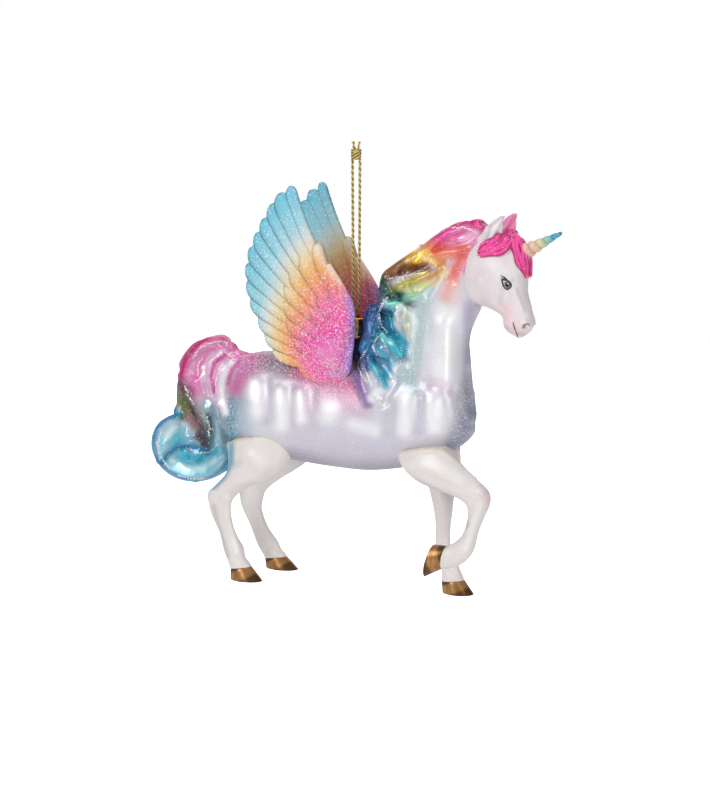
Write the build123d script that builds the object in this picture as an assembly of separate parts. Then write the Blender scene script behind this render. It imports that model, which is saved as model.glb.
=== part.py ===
from build123d import *
import math
import os

# Winged unicorn hanging ornament, in millimetres.
# +X runs towards the head, +Y is the animal's left and +Z is up.
# The origin is where a hook bears in the hanging loop, and the line x = 0, y = 0 is the hanging axis.

# Main sizes
hang_height = 129.0       # hook above the soles of the standing hooves
rump_x = -45.3            # back of the rump, behind the hanging axis
torso_length = 83.5
belly_height = 36.6       # underside of the barrel above the soles
barrel_height = 33.5
barrel_width = 28.0
neck_length = 44.0        # from the withers forward
neck_height = 64.0        # from inside the chest to the poll
neck_width = 24.0
lock_size = 3.0           # half the thickness of a lock of the mane
tail_reach = 36.0
tail_height = 43.5
tail_width = 14.0
roll_size = 2.6           # half the thickness of the tail's rolled edge
head_length = 22.5
head_height = 32.0
head_width = 14.0
lick_size = 1.5           # half the thickness of a lock of the forelock
leg_width = 14.0
wing_reach = 33.0
wing_height = 56.5
wing_stand = 9.0          # middle of a wing's root from the middle of the body
wing_lean = 4.0           # degrees that a wing leans outwards
wing_thickness = 4.2      # at the shoulder

# Glass wall and the fits of the cast parts on it
glass_wall = 1.2
tail_wall = 0.7          # the glass is drawn thinner out to the tail, which balances the ornament
glue_gap = 0.08
overrun = 1.0             # how far a cut runs past what it cuts

# Glass neck, cap and wire clip
pike_outer = 7.0
pike_bore = 5.0
pike_height = 12.0        # above the back
cap_plate = 0.5
cap_wall = 0.45
cap_skirt = 5.5
cap_rim = 0.35            # rolled rim, standing out from the skirt
running_gap = 0.05
wire_size = 0.6
wire_gap = 0.12           # between the wire and its slot in the cap
eye_width = 3.0           # between the middles of the wire's sides
eye_rise = 2.7            # middle of the eye's top above the cap
prong_length = 9.0

# Cord
cord_size = 1.0
cord_gap = 0.1            # between the cord and the wire that it carries
cord_spread = 2.5         # between the strands at the knot
knot_height = 3.6
knot_size = 3.4
tuft_length = 2.4         # cut ends of the cord above the knot

# Horn and its socket
horn_length = 12.6
horn_base = 4.6
horn_tip = 0.9
horn_peg = 2.4
horn_seat = 2.2           # depth of the peg in the forehead
horn_gap = 0.3            # round the horn's foot, whose twisted sides bulge
horn_angle = 28.0         # degrees above level
horn_turns = 2.5

ground = -hang_height
croup_z = ground + belly_height + barrel_height
pike_top = croup_z + pike_height
cap_top = pike_top + running_gap + cap_plate
eye_z = cap_top + eye_rise

# Each frame is x, z, length and height, which the shares of a form's table follow.
TORSO = (rump_x, ground + belly_height, torso_length, barrel_height)
NECK = (rump_x + 0.58 * torso_length, ground + belly_height + 0.4 * barrel_height, neck_length, neck_height)
TAIL = (rump_x + 0.1 * torso_length, croup_z, tail_reach, tail_height)
HEAD = (NECK[0] + 0.73 * neck_length, NECK[1] + 0.47 * neck_height, head_length, head_height)
HIND_LEG = (rump_x, ground, belly_height, belly_height)
FRONT_LEG = (rump_x + 0.75 * torso_length, ground, belly_height, belly_height)
WING = (rump_x + 0.557 * torso_length, ground + belly_height + 0.88 * barrel_height, wing_reach, wing_height)

# Rings of the body: one edge along and up, the other edge along and up, then half the width.
torso_shares = [
    (0.00, 0.42, 0.00, 0.70, 0.13),
    (0.02, 0.24, 0.02, 0.84, 0.29),
    (0.08, 0.12, 0.08, 0.94, 0.42),
    (0.17, 0.06, 0.17, 1.00, 0.50),
    (0.32, 0.02, 0.32, 1.00, 0.50),
    (0.46, 0.00, 0.46, 0.98, 0.49),
    (0.60, 0.00, 0.60, 1.01, 0.49),
    (0.73, 0.05, 0.73, 1.08, 0.48),
    (0.83, 0.12, 0.83, 1.10, 0.45),
    (0.92, 0.22, 0.92, 1.07, 0.38),
    (0.97, 0.34, 0.97, 1.00, 0.29),
    (1.00, 0.50, 1.00, 0.84, 0.16),
]
neck_shares = [
    (0.04, 0.12, 0.79, 0.01, 0.46),
    (0.05, 0.30, 0.82, 0.16, 0.46),
    (0.07, 0.45, 0.81, 0.30, 0.42),
    (0.12, 0.60, 0.80, 0.42, 0.36),
    (0.22, 0.73, 0.83, 0.53, 0.31),
    (0.37, 0.83, 0.87, 0.63, 0.26),
    (0.53, 0.91, 0.89, 0.74, 0.22),
    (0.70, 0.96, 0.91, 0.84, 0.18),
    (0.83, 0.98, 0.91, 0.91, 0.10),
]
# Outline of the tail in the side view, from the croup over the arch, round the scroll and back to the rump.
tail_outline_shares = [
    (0.06, -0.03), (-0.12, 0.02), (-0.29, 0.08), (-0.45, 0.05), (-0.61, -0.05), (-0.70, -0.20), (-0.72, -0.37),
    (-0.73, -0.51), (-0.87, -0.56), (-0.97, -0.67), (-0.98, -0.80), (-0.89, -0.92), (-0.72, -0.99), (-0.52, -0.99),
    (-0.34, -0.94), (-0.22, -0.83), (-0.15, -0.65), (-0.05, -0.42), (0.03, -0.23),
]
tail_middle_shares = (-0.47, -0.46)
# Slices of the tail across the body: how far out, and the size of the outline there.
tail_slice_shares = [(-1.0, 0.40), (-0.85, 0.72), (-0.5, 0.93), (0, 1.0), (0.5, 0.93), (0.85, 0.72), (1.0, 0.40)]
head_shares = [
    (0.22, 0.91, 0.47, 0.99, 0.20),
    (0.08, 0.77, 0.71, 0.89, 0.39),
    (0.00, 0.60, 0.86, 0.73, 0.47),
    (0.01, 0.44, 0.89, 0.56, 0.50),
    (0.12, 0.31, 0.89, 0.42, 0.45),
    (0.40, 0.25, 0.92, 0.33, 0.35),
    (0.56, 0.19, 0.96, 0.24, 0.30),
    (0.59, 0.11, 0.99, 0.16, 0.31),
    (0.64, 0.05, 0.96, 0.08, 0.26),
    (0.75, 0.01, 0.88, 0.03, 0.14),
]
ear_shares = [
    (0.34, 0.83, 0.59, 0.87, 0.11, 0.31),
    (0.38, 0.95, 0.64, 0.96, 0.12, 0.34),
    (0.49, 1.05, 0.67, 1.04, 0.08, 0.33),
    (0.60, 1.10, 0.67, 1.09, 0.04, 0.30),
]

# Rings of the legs: the back edge, the front edge, half the width and the place across the body.
hind_right_shares = [
    (0.16, 1.38, 0.76, 1.40, 0.32, 0.38),
    (0.14, 1.28, 0.78, 1.30, 0.40, 0.43),
    (0.13, 1.15, 0.76, 1.19, 0.45, 0.48),
    (0.15, 0.99, 0.68, 1.01, 0.41, 0.55),
    (0.13, 0.89, 0.55, 0.89, 0.34, 0.60),
    (0.04, 0.79, 0.37, 0.81, 0.27, 0.64),
    (-0.04, 0.71, 0.22, 0.70, 0.22, 0.64),
    (-0.03, 0.62, 0.17, 0.61, 0.19, 0.64),
    (0.00, 0.52, 0.17, 0.50, 0.16, 0.64),
    (0.07, 0.39, 0.21, 0.38, 0.15, 0.64),
    (0.11, 0.24, 0.29, 0.28, 0.17, 0.64),
    (0.14, 0.17, 0.31, 0.19, 0.16, 0.64),
    (0.17, 0.10, 0.36, 0.13, 0.19, 0.64),
    (0.19, 0.05, 0.37, 0.06, 0.17, 0.64),
]
hind_left_shares = [
    (0.16, 1.38, 0.76, 1.40, 0.32, 0.38),
    (0.15, 1.28, 0.78, 1.30, 0.40, 0.43),
    (0.15, 1.15, 0.77, 1.17, 0.45, 0.48),
    (0.17, 0.99, 0.65, 0.97, 0.41, 0.55),
    (0.15, 0.89, 0.54, 0.88, 0.34, 0.60),
    (0.07, 0.78, 0.38, 0.78, 0.27, 0.64),
    (-0.02, 0.68, 0.24, 0.67, 0.22, 0.64),
    (-0.02, 0.60, 0.20, 0.58, 0.19, 0.64),
    (0.00, 0.50, 0.19, 0.48, 0.16, 0.64),
    (0.08, 0.35, 0.25, 0.34, 0.15, 0.64),
    (0.14, 0.21, 0.34, 0.23, 0.17, 0.64),
    (0.18, 0.14, 0.38, 0.16, 0.16, 0.64),
    (0.22, 0.09, 0.42, 0.12, 0.19, 0.64),
    (0.24, 0.04, 0.44, 0.05, 0.17, 0.64),
]
front_left_shares = [
    (0.02, 1.36, 0.48, 1.40, 0.30, 0.34),
    (0.02, 1.24, 0.52, 1.30, 0.36, 0.40),
    (0.03, 1.12, 0.51, 1.16, 0.37, 0.44),
    (0.07, 0.97, 0.42, 0.98, 0.31, 0.48),
    (0.11, 0.86, 0.34, 0.86, 0.24, 0.49),
    (0.14, 0.75, 0.32, 0.75, 0.21, 0.49),
    (0.16, 0.66, 0.31, 0.65, 0.20, 0.49),
    (0.17, 0.56, 0.30, 0.56, 0.16, 0.49),
    (0.17, 0.39, 0.30, 0.39, 0.14, 0.49),
    (0.20, 0.26, 0.36, 0.26, 0.17, 0.49),
    (0.23, 0.17, 0.39, 0.19, 0.16, 0.49),
    (0.23, 0.10, 0.42, 0.13, 0.19, 0.49),
    (0.25, 0.05, 0.44, 0.06, 0.17, 0.49),
]
front_right_shares = [
    (0.00, 1.26, 0.38, 1.46, 0.30, 0.34),
    (0.00, 1.18, 0.44, 1.40, 0.38, 0.42),
    (0.08, 1.08, 0.48, 1.30, 0.40, 0.50),
    (0.22, 1.00, 0.54, 1.22, 0.35, 0.60),
    (0.39, 0.95, 0.63, 1.14, 0.28, 0.64),
    (0.52, 0.92, 0.73, 1.07, 0.23, 0.64),
    (0.62, 0.88, 0.84, 0.98, 0.21, 0.64),
    (0.66, 0.83, 0.85, 0.88, 0.20, 0.64),
    (0.66, 0.74, 0.80, 0.76, 0.16, 0.64),
    (0.62, 0.62, 0.75, 0.63, 0.15, 0.64),
    (0.58, 0.57, 0.71, 0.48, 0.17, 0.64),
    (0.53, 0.53, 0.63, 0.38, 0.16, 0.64),
    (0.48, 0.50, 0.51, 0.32, 0.19, 0.64),
    (0.43, 0.48, 0.42, 0.31, 0.17, 0.64),
]
# A hoof runs from its coronet to its sole.
hind_right_hoof_shares = [(0.18, 0.09, 0.36, 0.12, 0.21, 0.64), (0.18, 0.00, 0.47, 0.00, 0.26, 0.64)]
hind_left_hoof_shares = [(0.23, 0.08, 0.42, 0.11, 0.21, 0.64), (0.24, 0.00, 0.54, 0.00, 0.26, 0.64)]
front_left_hoof_shares = [(0.23, 0.09, 0.42, 0.12, 0.21, 0.49), (0.24, 0.00, 0.51, 0.00, 0.26, 0.49)]
front_right_hoof_shares = [(0.47, 0.50, 0.44, 0.31, 0.21, 0.64), (0.36, 0.50, 0.29, 0.23, 0.26, 0.64)]

# Locks of the mane on one side: along, up, out and half the thickness.
mane_lock_shares = [
    [(0.86, 0.96, 0.02, 0.60), (0.75, 0.965, 0.07, 0.95), (0.62, 0.93, 0.10, 1.00), (0.52, 0.88, 0.13, 0.90),
     (0.45, 0.82, 0.17, 0.75), (0.44, 0.76, 0.21, 0.45)],
    [(0.46, 0.87, 0.05, 0.70), (0.37, 0.81, 0.10, 1.00), (0.26, 0.76, 0.14, 1.00), (0.18, 0.71, 0.18, 0.85),
     (0.17, 0.64, 0.24, 0.55)],
    [(0.27, 0.74, 0.20, 0.80), (0.36, 0.67, 0.27, 0.95), (0.45, 0.63, 0.31, 0.80), (0.53, 0.61, 0.32, 0.40)],
    [(0.19, 0.69, 0.17, 0.85), (0.25, 0.62, 0.26, 1.00), (0.32, 0.57, 0.33, 1.00), (0.37, 0.50, 0.37, 0.95),
     (0.35, 0.43, 0.40, 0.80), (0.39, 0.36, 0.43, 0.55), (0.42, 0.31, 0.45, 0.30)],
    [(0.13, 0.59, 0.14, 1.00), (0.15, 0.50, 0.22, 1.00), (0.18, 0.42, 0.31, 1.00), (0.28, 0.37, 0.39, 0.85),
     (0.35, 0.32, 0.44, 0.65), (0.38, 0.27, 0.46, 0.35)],
    [(0.14, 0.47, 0.20, 0.90), (0.12, 0.38, 0.28, 0.90), (0.13, 0.29, 0.38, 0.90), (0.17, 0.21, 0.47, 0.80),
     (0.22, 0.15, 0.52, 0.55), (0.26, 0.12, 0.54, 0.30)],
]
far_mane_share = 0.95     # the mane lies closer to the neck on the left side
# Rolled edge of the tail on one side, from the croup over the arch and down into the curl.
tail_roll_shares = [
    (0.08, -0.12, 0.08, 0.40), (-0.09, -0.04, 0.14, 0.75), (-0.24, 0.03, 0.18, 0.90), (-0.42, 0.03, 0.22, 1.00),
    (-0.57, -0.07, 0.24, 1.00), (-0.65, -0.22, 0.28, 1.00), (-0.66, -0.38, 0.33, 1.00), (-0.61, -0.52, 0.37, 1.00),
    (-0.52, -0.63, 0.39, 1.00), (-0.43, -0.73, 0.40, 0.90), (-0.46, -0.82, 0.40, 0.75), (-0.56, -0.83, 0.40, 0.60),
    (-0.61, -0.75, 0.41, 0.45),
]
# Locks of the forelock: one falls over the near temple, one down the forehead, one between them.
forelock_shares = [
    [(0.56, 1.00, -0.04, 0.80), (0.50, 0.92, -0.22, 1.10), (0.42, 0.84, -0.36, 1.20), (0.36, 0.76, -0.43, 1.00),
     (0.33, 0.69, -0.46, 0.50)],
    [(0.60, 1.00, -0.02, 0.90), (0.76, 0.90, -0.08, 1.20), (0.87, 0.76, -0.12, 1.15), (0.92, 0.64, -0.14, 0.95),
     (0.93, 0.54, -0.14, 0.50)],
    [(0.56, 1.00, 0.04, 0.80), (0.54, 0.92, 0.20, 1.10), (0.50, 0.84, 0.34, 1.00), (0.46, 0.77, 0.41, 0.50)],
]

# Feathers of a wing: root along and up, tip along and up. The first lies along the leading edge.
flight_feather_shares = [
    (0.04, 0.37, -0.50, 0.99), (0.04, 0.34, -0.61, 0.95), (0.04, 0.31, -0.70, 0.89), (0.04, 0.28, -0.79, 0.81),
    (0.03, 0.25, -0.87, 0.73), (0.02, 0.22, -0.94, 0.65), (0.01, 0.19, -0.98, 0.56), (0.00, 0.16, -0.98, 0.47),
    (-0.01, 0.13, -0.95, 0.38), (-0.02, 0.10, -0.88, 0.28), (-0.04, 0.07, -0.82, 0.20), (-0.05, 0.05, -0.74, 0.12),
]
covert_shares = [
    (0.06, 0.30, -0.25, 0.70), (0.06, 0.28, -0.39, 0.64), (0.05, 0.25, -0.51, 0.56), (0.04, 0.21, -0.58, 0.47),
    (0.02, 0.17, -0.60, 0.38), (0.00, 0.13, -0.58, 0.29), (-0.02, 0.09, -0.53, 0.20), (-0.04, 0.05, -0.46, 0.11),
]
small_covert_shares = [
    (0.07, 0.24, -0.09, 0.53), (0.06, 0.22, -0.22, 0.46), (0.04, 0.18, -0.31, 0.38), (0.02, 0.14, -0.35, 0.29),
    (0.00, 0.10, -0.35, 0.20), (-0.03, 0.06, -0.32, 0.11),
]
# Each row: its feathers, width at the root and near the tip, both of the wing's reach, and thickness.
feather_rows = [
    (flight_feather_shares, 0.13, 0.18, 0.30),
    (covert_shares, 0.15, 0.20, 0.52),
    (small_covert_shares, 0.16, 0.21, 0.74),
]
feather_roll = 5.0        # degrees that each feather is rolled over the next
# Shoulder of a wing: back edge, front edge and half the thickness.
shoulder_shares = [
    (-0.40, -0.04, -0.06, -0.05, 0.30),
    (-0.50, 0.04, 0.05, 0.03, 0.42),
    (-0.46, 0.12, 0.08, 0.12, 0.48),
    (-0.32, 0.22, 0.11, 0.24, 0.48),
    (-0.20, 0.34, 0.11, 0.37, 0.42),
    (-0.18, 0.46, 0.03, 0.47, 0.34),
    (-0.20, 0.58, -0.11, 0.59, 0.22),
]


def spot(frame, along, up):
    """A place in the side view, from shares of a frame."""
    x, z, length, height = frame
    return (x + along * length, z + up * height)


def ring(plane, along, across):
    """An oval face in two halves, which meet at its low and high points."""
    halves = [
        EllipticalCenterArc((0, 0), along, across, start_angle=0, arc_size=180),
        EllipticalCenterArc((0, 0), along, across, start_angle=180, arc_size=180),
    ]
    return plane * make_face(halves)


def upright_ring(low, high, half_width, side=0):
    """A ring that runs from low to high in the side view and stands square to it."""
    run, rise = high[0] - low[0], high[1] - low[1]
    middle = ((low[0] + high[0]) / 2, side, (low[1] + high[1]) / 2)
    plane = Plane(origin=middle, x_dir=(run, 0, rise), z_dir=(-rise, 0, run))
    return ring(plane, math.hypot(run, rise) / 2, half_width)


def ring_loft(frame, width, rows, side=0, grow=0):
    """A rounded form through the rings of a table; side is 1 for left and -1 for right."""
    rings = []
    for row in rows:
        low, high = spot(frame, *row[0:2]), spot(frame, *row[2:4])
        across = side * row[5] * width if side else 0
        span = math.dist(low, high)
        step = ((high[0] - low[0]) * grow / span, (high[1] - low[1]) * grow / span)
        low = (low[0] - step[0], low[1] - step[1])
        high = (high[0] + step[0], high[1] + step[1])
        rings.append(upright_ring(low, high, row[4] * width + grow, across))
    return loft(rings)


def tube_loft(frame, width, size, rows, side=1):
    """A tapering round lock through places given along, up and out."""
    places = []
    for along, up, out, _ in rows:
        x, z = spot(frame, along, up)
        places.append(Vector(x, side * out * width, z))
    rings = []
    for index, row in enumerate(rows):
        before, after = places[max(index - 1, 0)], places[min(index + 1, len(rows) - 1)]
        plane = Plane(origin=places[index], x_dir=(0, 1, 0), z_dir=after - before)
        rings.append(ring(plane, row[3] * size, row[3] * size))
    return loft(rings)


def tail_form(grow):
    """The tail, lofted across the body through slices of its outline."""
    centre = spot(TAIL, *tail_middle_shares)
    slices = []
    for out, size in tail_slice_shares:
        points = []
        for along, up in tail_outline_shares:
            x, z = spot(TAIL, along, up)
            reach = math.dist((x, z), centre)
            scale = size * (reach + grow) / reach
            points.append((centre[0] + (x - centre[0]) * scale, 0, centre[1] + (z - centre[1]) * scale))
        outline = make_face(Spline(*points, periodic=True))
        slices.append(Pos(0, out * (tail_width / 2 + grow), 0) * outline)
    return loft(slices)


def glass_forms(grow):
    """The torso and neck as one solid, each grown by the given length."""
    rings = slice(1, -1) if grow < 0 else slice(None)
    torso = ring_loft(TORSO, barrel_width, torso_shares[rings], grow=grow)
    neck = ring_loft(NECK, neck_width, neck_shares[rings], grow=grow)
    return torso + neck


def make_glass_body():
    body = glass_forms(0) + tail_form(0)
    hollow = glass_forms(-glass_wall) + tail_form(-tail_wall)
    for side in (-1, 1):
        body += tube_loft(TAIL, tail_width, roll_size, tail_roll_shares, side)
    for side, spread in ((-1, neck_width), (1, far_mane_share * neck_width)):
        for lock in mane_lock_shares:
            body += tube_loft(NECK, spread, lock_size, lock, side)
    pike_foot = croup_z - barrel_height / 2
    pike = Pos(0, 0, pike_foot) * Cylinder(
        pike_outer / 2, pike_top - pike_foot, align=(Align.CENTER, Align.CENTER, Align.MIN))
    bore = Pos(0, 0, pike_foot) * Cylinder(
        pike_bore / 2, pike_top - pike_foot + overrun, align=(Align.CENTER, Align.CENTER, Align.MIN))
    return body + pike - hollow - bore


def make_head(neck_seat):
    head = ring_loft(HEAD, head_width, head_shares)
    for side in (-1, 1):
        head += ring_loft(HEAD, head_width, ear_shares, side)
    for lock in forelock_shares:
        head += tube_loft(HEAD, head_width, lick_size, lock)
    socket = Pos(0, 0, -horn_seat - glue_gap) * Cylinder(
        horn_peg / 2 + glue_gap, horn_seat + overrun, align=(Align.CENTER, Align.CENTER, Align.MIN))
    socket += Pos(0, 0, -glue_gap) * Cylinder(
        horn_base / 2 + horn_gap, horn_length, align=(Align.CENTER, Align.CENTER, Align.MIN))
    return head - neck_seat - horn_place() * socket


def horn_place():
    """Where the horn's axis leaves the forehead, its z axis along the horn."""
    x, z = spot(HEAD, 0.87, 0.78)
    turn = math.radians(horn_angle)
    return Location(Plane(origin=(x, 0, z), x_dir=(0, 1, 0), z_dir=(math.cos(turn), 0, math.sin(turn))))


def make_horn():
    steps = int(horn_turns * 6)
    rings = []
    for step in range(steps + 1):
        share = step / steps
        radius = (horn_base * (1 - share) + horn_tip * share) / 2
        turn = Rot(0, 0, 360 * horn_turns * share)
        rings.append(Pos(0, 0, horn_length * share) * turn * Ellipse(radius, radius * 0.8))
    peg = Pos(0, 0, -horn_seat) * Cylinder(
        horn_peg / 2, horn_seat + overrun, align=(Align.CENTER, Align.CENTER, Align.MIN))
    return horn_place() * (loft(rings) + peg)


def make_leg(frame, rows, hoof_rows, side, torso_seat):
    leg = ring_loft(frame, leg_width, rows, side)
    hoof = ring_loft(frame, leg_width, hoof_rows, side)
    return leg + hoof - torso_seat


def make_feather(row, root_width, tip_width, thickness):
    """One flat blade with a round tip, rolled about its own length."""
    root, tip = Vector(*spot(WING, *row[0:2])), Vector(*spot(WING, *row[2:4]))
    along = (tip - root).normalized()
    across = Vector(-along.Y, along.X)
    shoulder = tip - along * tip_width / 2
    middle = (root + shoulder) / 2
    middle_width = (root_width + tip_width) / 2
    bow = across * tip_width / 4

    def at(point):
        return (point.X, 0, point.Y)

    near_side = ThreePointArc(
        at(root + across * root_width / 2), at(middle + across * middle_width / 2 - bow),
        at(shoulder + across * tip_width / 2))
    end = ThreePointArc(near_side @ 1, at(tip), at(shoulder - across * tip_width / 2))
    far_side = ThreePointArc(
        end @ 1, at(middle - across * middle_width / 2 - bow), at(root - across * root_width / 2))
    blade = make_face([near_side, end, far_side, Line(far_side @ 1, near_side @ 0)])
    solid = extrude(blade, amount=thickness / 2, dir=(0, 1, 0), both=True)
    return solid.rotate(Axis(at(root), (along.X, 0, along.Y)), feather_roll)


def make_wing(side, torso_seat):
    wing = ring_loft(WING, wing_thickness, shoulder_shares)
    for rows, root_share, tip_share, thick_share in feather_rows:
        for row in rows:
            wing += make_feather(
                row, root_share * wing_reach, tip_share * wing_reach, thick_share * wing_thickness)
    hinge = Axis((0, 0, WING[1]), (1, 0, 0))
    wing = Pos(0, wing_stand, 0) * wing.rotate(hinge, -wing_lean)
    if side < 0:
        wing = mirror(wing, about=Plane.XZ)
    return wing - torso_seat


def make_cap():
    inner = pike_outer / 2 + running_gap
    outer = inner + cap_wall
    foot = pike_top - cap_skirt
    tall = cap_top - foot
    cap = Pos(0, 0, foot) * Cylinder(outer, tall, align=(Align.CENTER, Align.CENTER, Align.MIN))
    cap = fillet(cap.edges().group_by(Axis.Z)[-1], cap_wall)
    cap += Pos(0, 0, foot + cap_rim) * Torus(outer, cap_rim)
    cap -= Pos(0, 0, foot - overrun) * Cylinder(
        inner, cap_skirt + running_gap + overrun, align=(Align.CENTER, Align.CENTER, Align.MIN))
    slot_half = pike_bore / 2 - running_gap + wire_gap
    return cap - Pos(0, 0, cap_top) * Box(
        wire_size + 2 * wire_gap, 2 * slot_half, 2 * cap_plate + overrun)


def make_hanger_clip():
    prong = (pike_bore - wire_size) / 2 - running_gap
    foot = cap_top - prong_length
    path = FilletPolyline(
        (0, -prong, foot), (0, -eye_width / 2, cap_top), (0, -eye_width / 2, eye_z),
        (0, eye_width / 2, eye_z), (0, eye_width / 2, cap_top), (0, prong, foot),
        radius=[eye_width, eye_width * 0.4, eye_width * 0.4, eye_width])
    start = Plane(origin=path @ 0, z_dir=path % 0)
    return sweep(start * Circle(wire_size / 2), path=path)


def make_hanging_cord():
    bend = (wire_size + cord_size) / 2 + cord_gap
    route = [
        (-cord_spread / 2, 0, 0),
        (-bend, 0, eye_z - bend),
        (bend, 0, eye_z - bend),
        (cord_spread / 2, 0, 0),
    ]
    radii = [0.95 * bend, 0.95 * bend]
    path = FilletPolyline(*route, radius=radii)
    start = Plane(origin=path @ 0, z_dir=path % 0)
    cord = sweep(start * Circle(cord_size / 2), path=path)
    expected = math.pi * cord_size ** 2 / 4 * path.length
    print("cord length", round(path.length, 2), "bend radii", [round(radius, 2) for radius in radii])
    print("cord volume", round(cord.volume, 2), "section times length", round(expected, 2))
    return cord


def make_cord_knot():
    """Two turns of the doubled cord drawn up tight, with the cut ends above."""
    turn = knot_height / 4
    knot = Pos(0, 0, knot_height / 2) * Cylinder(knot_size / 2 - turn / 2, knot_height)
    for level in (1, 3):
        knot += Pos(0, 0, level * turn) * Torus(knot_size / 2 - turn, turn)
    for side in (-1, 1):
        end = Pos(side * cord_size * 0.6, 0, knot_height - turn) * Rot(0, side * 14, 0) * Cylinder(
            cord_size / 2, tuft_length + turn, align=(Align.CENTER, Align.CENTER, Align.MIN))
        knot += end
    return knot


def main():
    os.makedirs("parts", exist_ok=True)
    torso_seat = ring_loft(TORSO, barrel_width, torso_shares, grow=glue_gap)
    neck_seat = ring_loft(NECK, neck_width, neck_shares, grow=glue_gap)
    nodes = {
        "glass_body": make_glass_body(),
        "head": make_head(neck_seat),
        "horn": make_horn(),
        "front_left_leg": make_leg(FRONT_LEG, front_left_shares, front_left_hoof_shares, 1, torso_seat),
        "front_right_leg": make_leg(FRONT_LEG, front_right_shares, front_right_hoof_shares, -1, torso_seat),
        "hind_left_leg": make_leg(HIND_LEG, hind_left_shares, hind_left_hoof_shares, 1, torso_seat),
        "hind_right_leg": make_leg(HIND_LEG, hind_right_shares, hind_right_hoof_shares, -1, torso_seat),
        "left_wing": make_wing(1, torso_seat),
        "right_wing": make_wing(-1, torso_seat),
        "cap": make_cap(),
        "hanger_clip": make_hanger_clip(),
        "hanging_cord": make_hanging_cord(),
        "cord_knot": make_cord_knot(),
    }
    for name, solid in nodes.items():
        export_step(solid, f"parts/{name}.step")


main()
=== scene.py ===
import math

import bpy
import numpy as np
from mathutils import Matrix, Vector
from mathutils.bvhtree import BVHTree


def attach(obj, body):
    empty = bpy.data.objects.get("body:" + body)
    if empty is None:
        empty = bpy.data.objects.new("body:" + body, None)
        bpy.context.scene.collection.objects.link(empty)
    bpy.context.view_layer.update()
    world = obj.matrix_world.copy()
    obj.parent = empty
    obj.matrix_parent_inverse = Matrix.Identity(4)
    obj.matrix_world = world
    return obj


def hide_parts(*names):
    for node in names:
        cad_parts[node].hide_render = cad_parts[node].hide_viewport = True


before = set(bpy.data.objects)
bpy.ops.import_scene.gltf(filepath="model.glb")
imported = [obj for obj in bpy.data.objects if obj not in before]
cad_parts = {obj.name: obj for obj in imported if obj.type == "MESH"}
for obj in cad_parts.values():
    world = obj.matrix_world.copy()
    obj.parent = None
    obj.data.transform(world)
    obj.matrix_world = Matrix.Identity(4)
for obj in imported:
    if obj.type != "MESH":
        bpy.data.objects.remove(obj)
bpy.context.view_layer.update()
SEED = 7
rng = np.random.default_rng(SEED)

MM = 0.001
GROUND = -129.0          # soles of the standing hooves, mm in the row frame
AHEAD = 1.2              # the animal sits this far ahead of the place that the picture's cord gives it


def add(name, data):
    thing = bpy.data.objects.new(name, data)
    bpy.context.scene.collection.objects.link(thing)
    return thing


# ---- camera, at the picture's own angle ----
AZIMUTH, ELEVATION, DISTANCE, PER_PIXEL, ASIDE = 28.0, 10.0, 700.0, 0.30, 0.6
turn, tilt = math.radians(AZIMUTH), math.radians(ELEVATION)
BACK = np.array([math.sin(turn) * math.cos(tilt), -math.cos(turn) * math.cos(tilt), math.sin(tilt)])
RIGHT = np.array([math.cos(turn), math.sin(turn), 0.0])
UP = np.cross(BACK, RIGHT)
TARGET = np.array([-1.0, 0.0, 57.4 + GROUND])
EYE = TARGET + BACK * DISTANCE
MIDDLE = np.array([355.0, 400.0])

camera = add("camera", bpy.data.cameras.new("camera"))
camera.data.lens = 105
camera.data.sensor_width = 36
camera.location = Vector((EYE + np.array([ASIDE, 0, 0])) * MM)
camera.rotation_mode = "QUATERNION"
camera.rotation_quaternion = Vector(-BACK).to_track_quat("-Z", "Y")
camera.data.clip_start, camera.data.clip_end = 0.01, 20
bpy.context.scene.camera = camera


# ---- helpers for shapes: places are mm in the row frame ----
def piece(name, verts, faces, smooth=True):
    mesh = bpy.data.meshes.new(name)
    mesh.from_pydata([tuple(v) for v in np.array(verts, float) * MM], [], faces)
    mesh.validate()
    mesh.shade_smooth() if smooth else mesh.shade_flat()
    return add(name, mesh)


def fetch(data, key, per, kind=np.float32):
    """One property of a mesh's elements, as rows."""
    values = np.empty(len(data) * per, kind)
    data.foreach_get(key, values)
    return values.reshape(-1, per)


def places(thing):
    return fetch(thing.data.vertices, "co", 3).astype(float) / MM


def normals(thing):
    return fetch(thing.data.vertex_normals, "vector", 3).astype(float)


def move_to(thing, co):
    thing.data.vertices.foreach_set("co", (co * MM).astype(np.float32).ravel())
    thing.data.update()


def through(rows, per):
    """The rows of a table with smooth ones added between them."""
    r = np.array(rows, float)
    last = len(r) - 1
    out = []
    for i in range(last):
        a, b, c, d = r[max(i - 1, 0)], r[i], r[i + 1], r[min(i + 2, last)]
        for t in np.arange(per) / per:
            out.append(b + 0.5 * t * (c - a + t * (2 * a - 5 * b + 4 * c - d + t * (3 * b - a - 3 * c + d))))
    return np.array(out + [r[-1]])


def turned(count):
    """Angles all the way round."""
    return np.linspace(0, 2 * math.pi, count, endpoint=False)


def unit(rows):
    return rows / np.linalg.norm(rows, axis=1)[:, None]


def between(at, stops, rows):
    """Rows read off between those given at the stops."""
    return np.column_stack([np.interp(at, stops, rows[:, k]) for k in range(3)])


def skin(rings):
    """Vertices and faces of a closed form through rings of equal length."""
    count, around = len(rings), len(rings[0])
    verts = [tuple(p) for ring in rings for p in ring]
    faces = []
    for i in range(count - 1):
        for j in range(around):
            k = (j + 1) % around
            faces.append((i * around + j, i * around + k, (i + 1) * around + k, (i + 1) * around + j))
    faces.append(tuple(reversed(range(around))))
    faces.append(tuple((count - 1) * around + j for j in range(around)))
    return verts, faces


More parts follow.
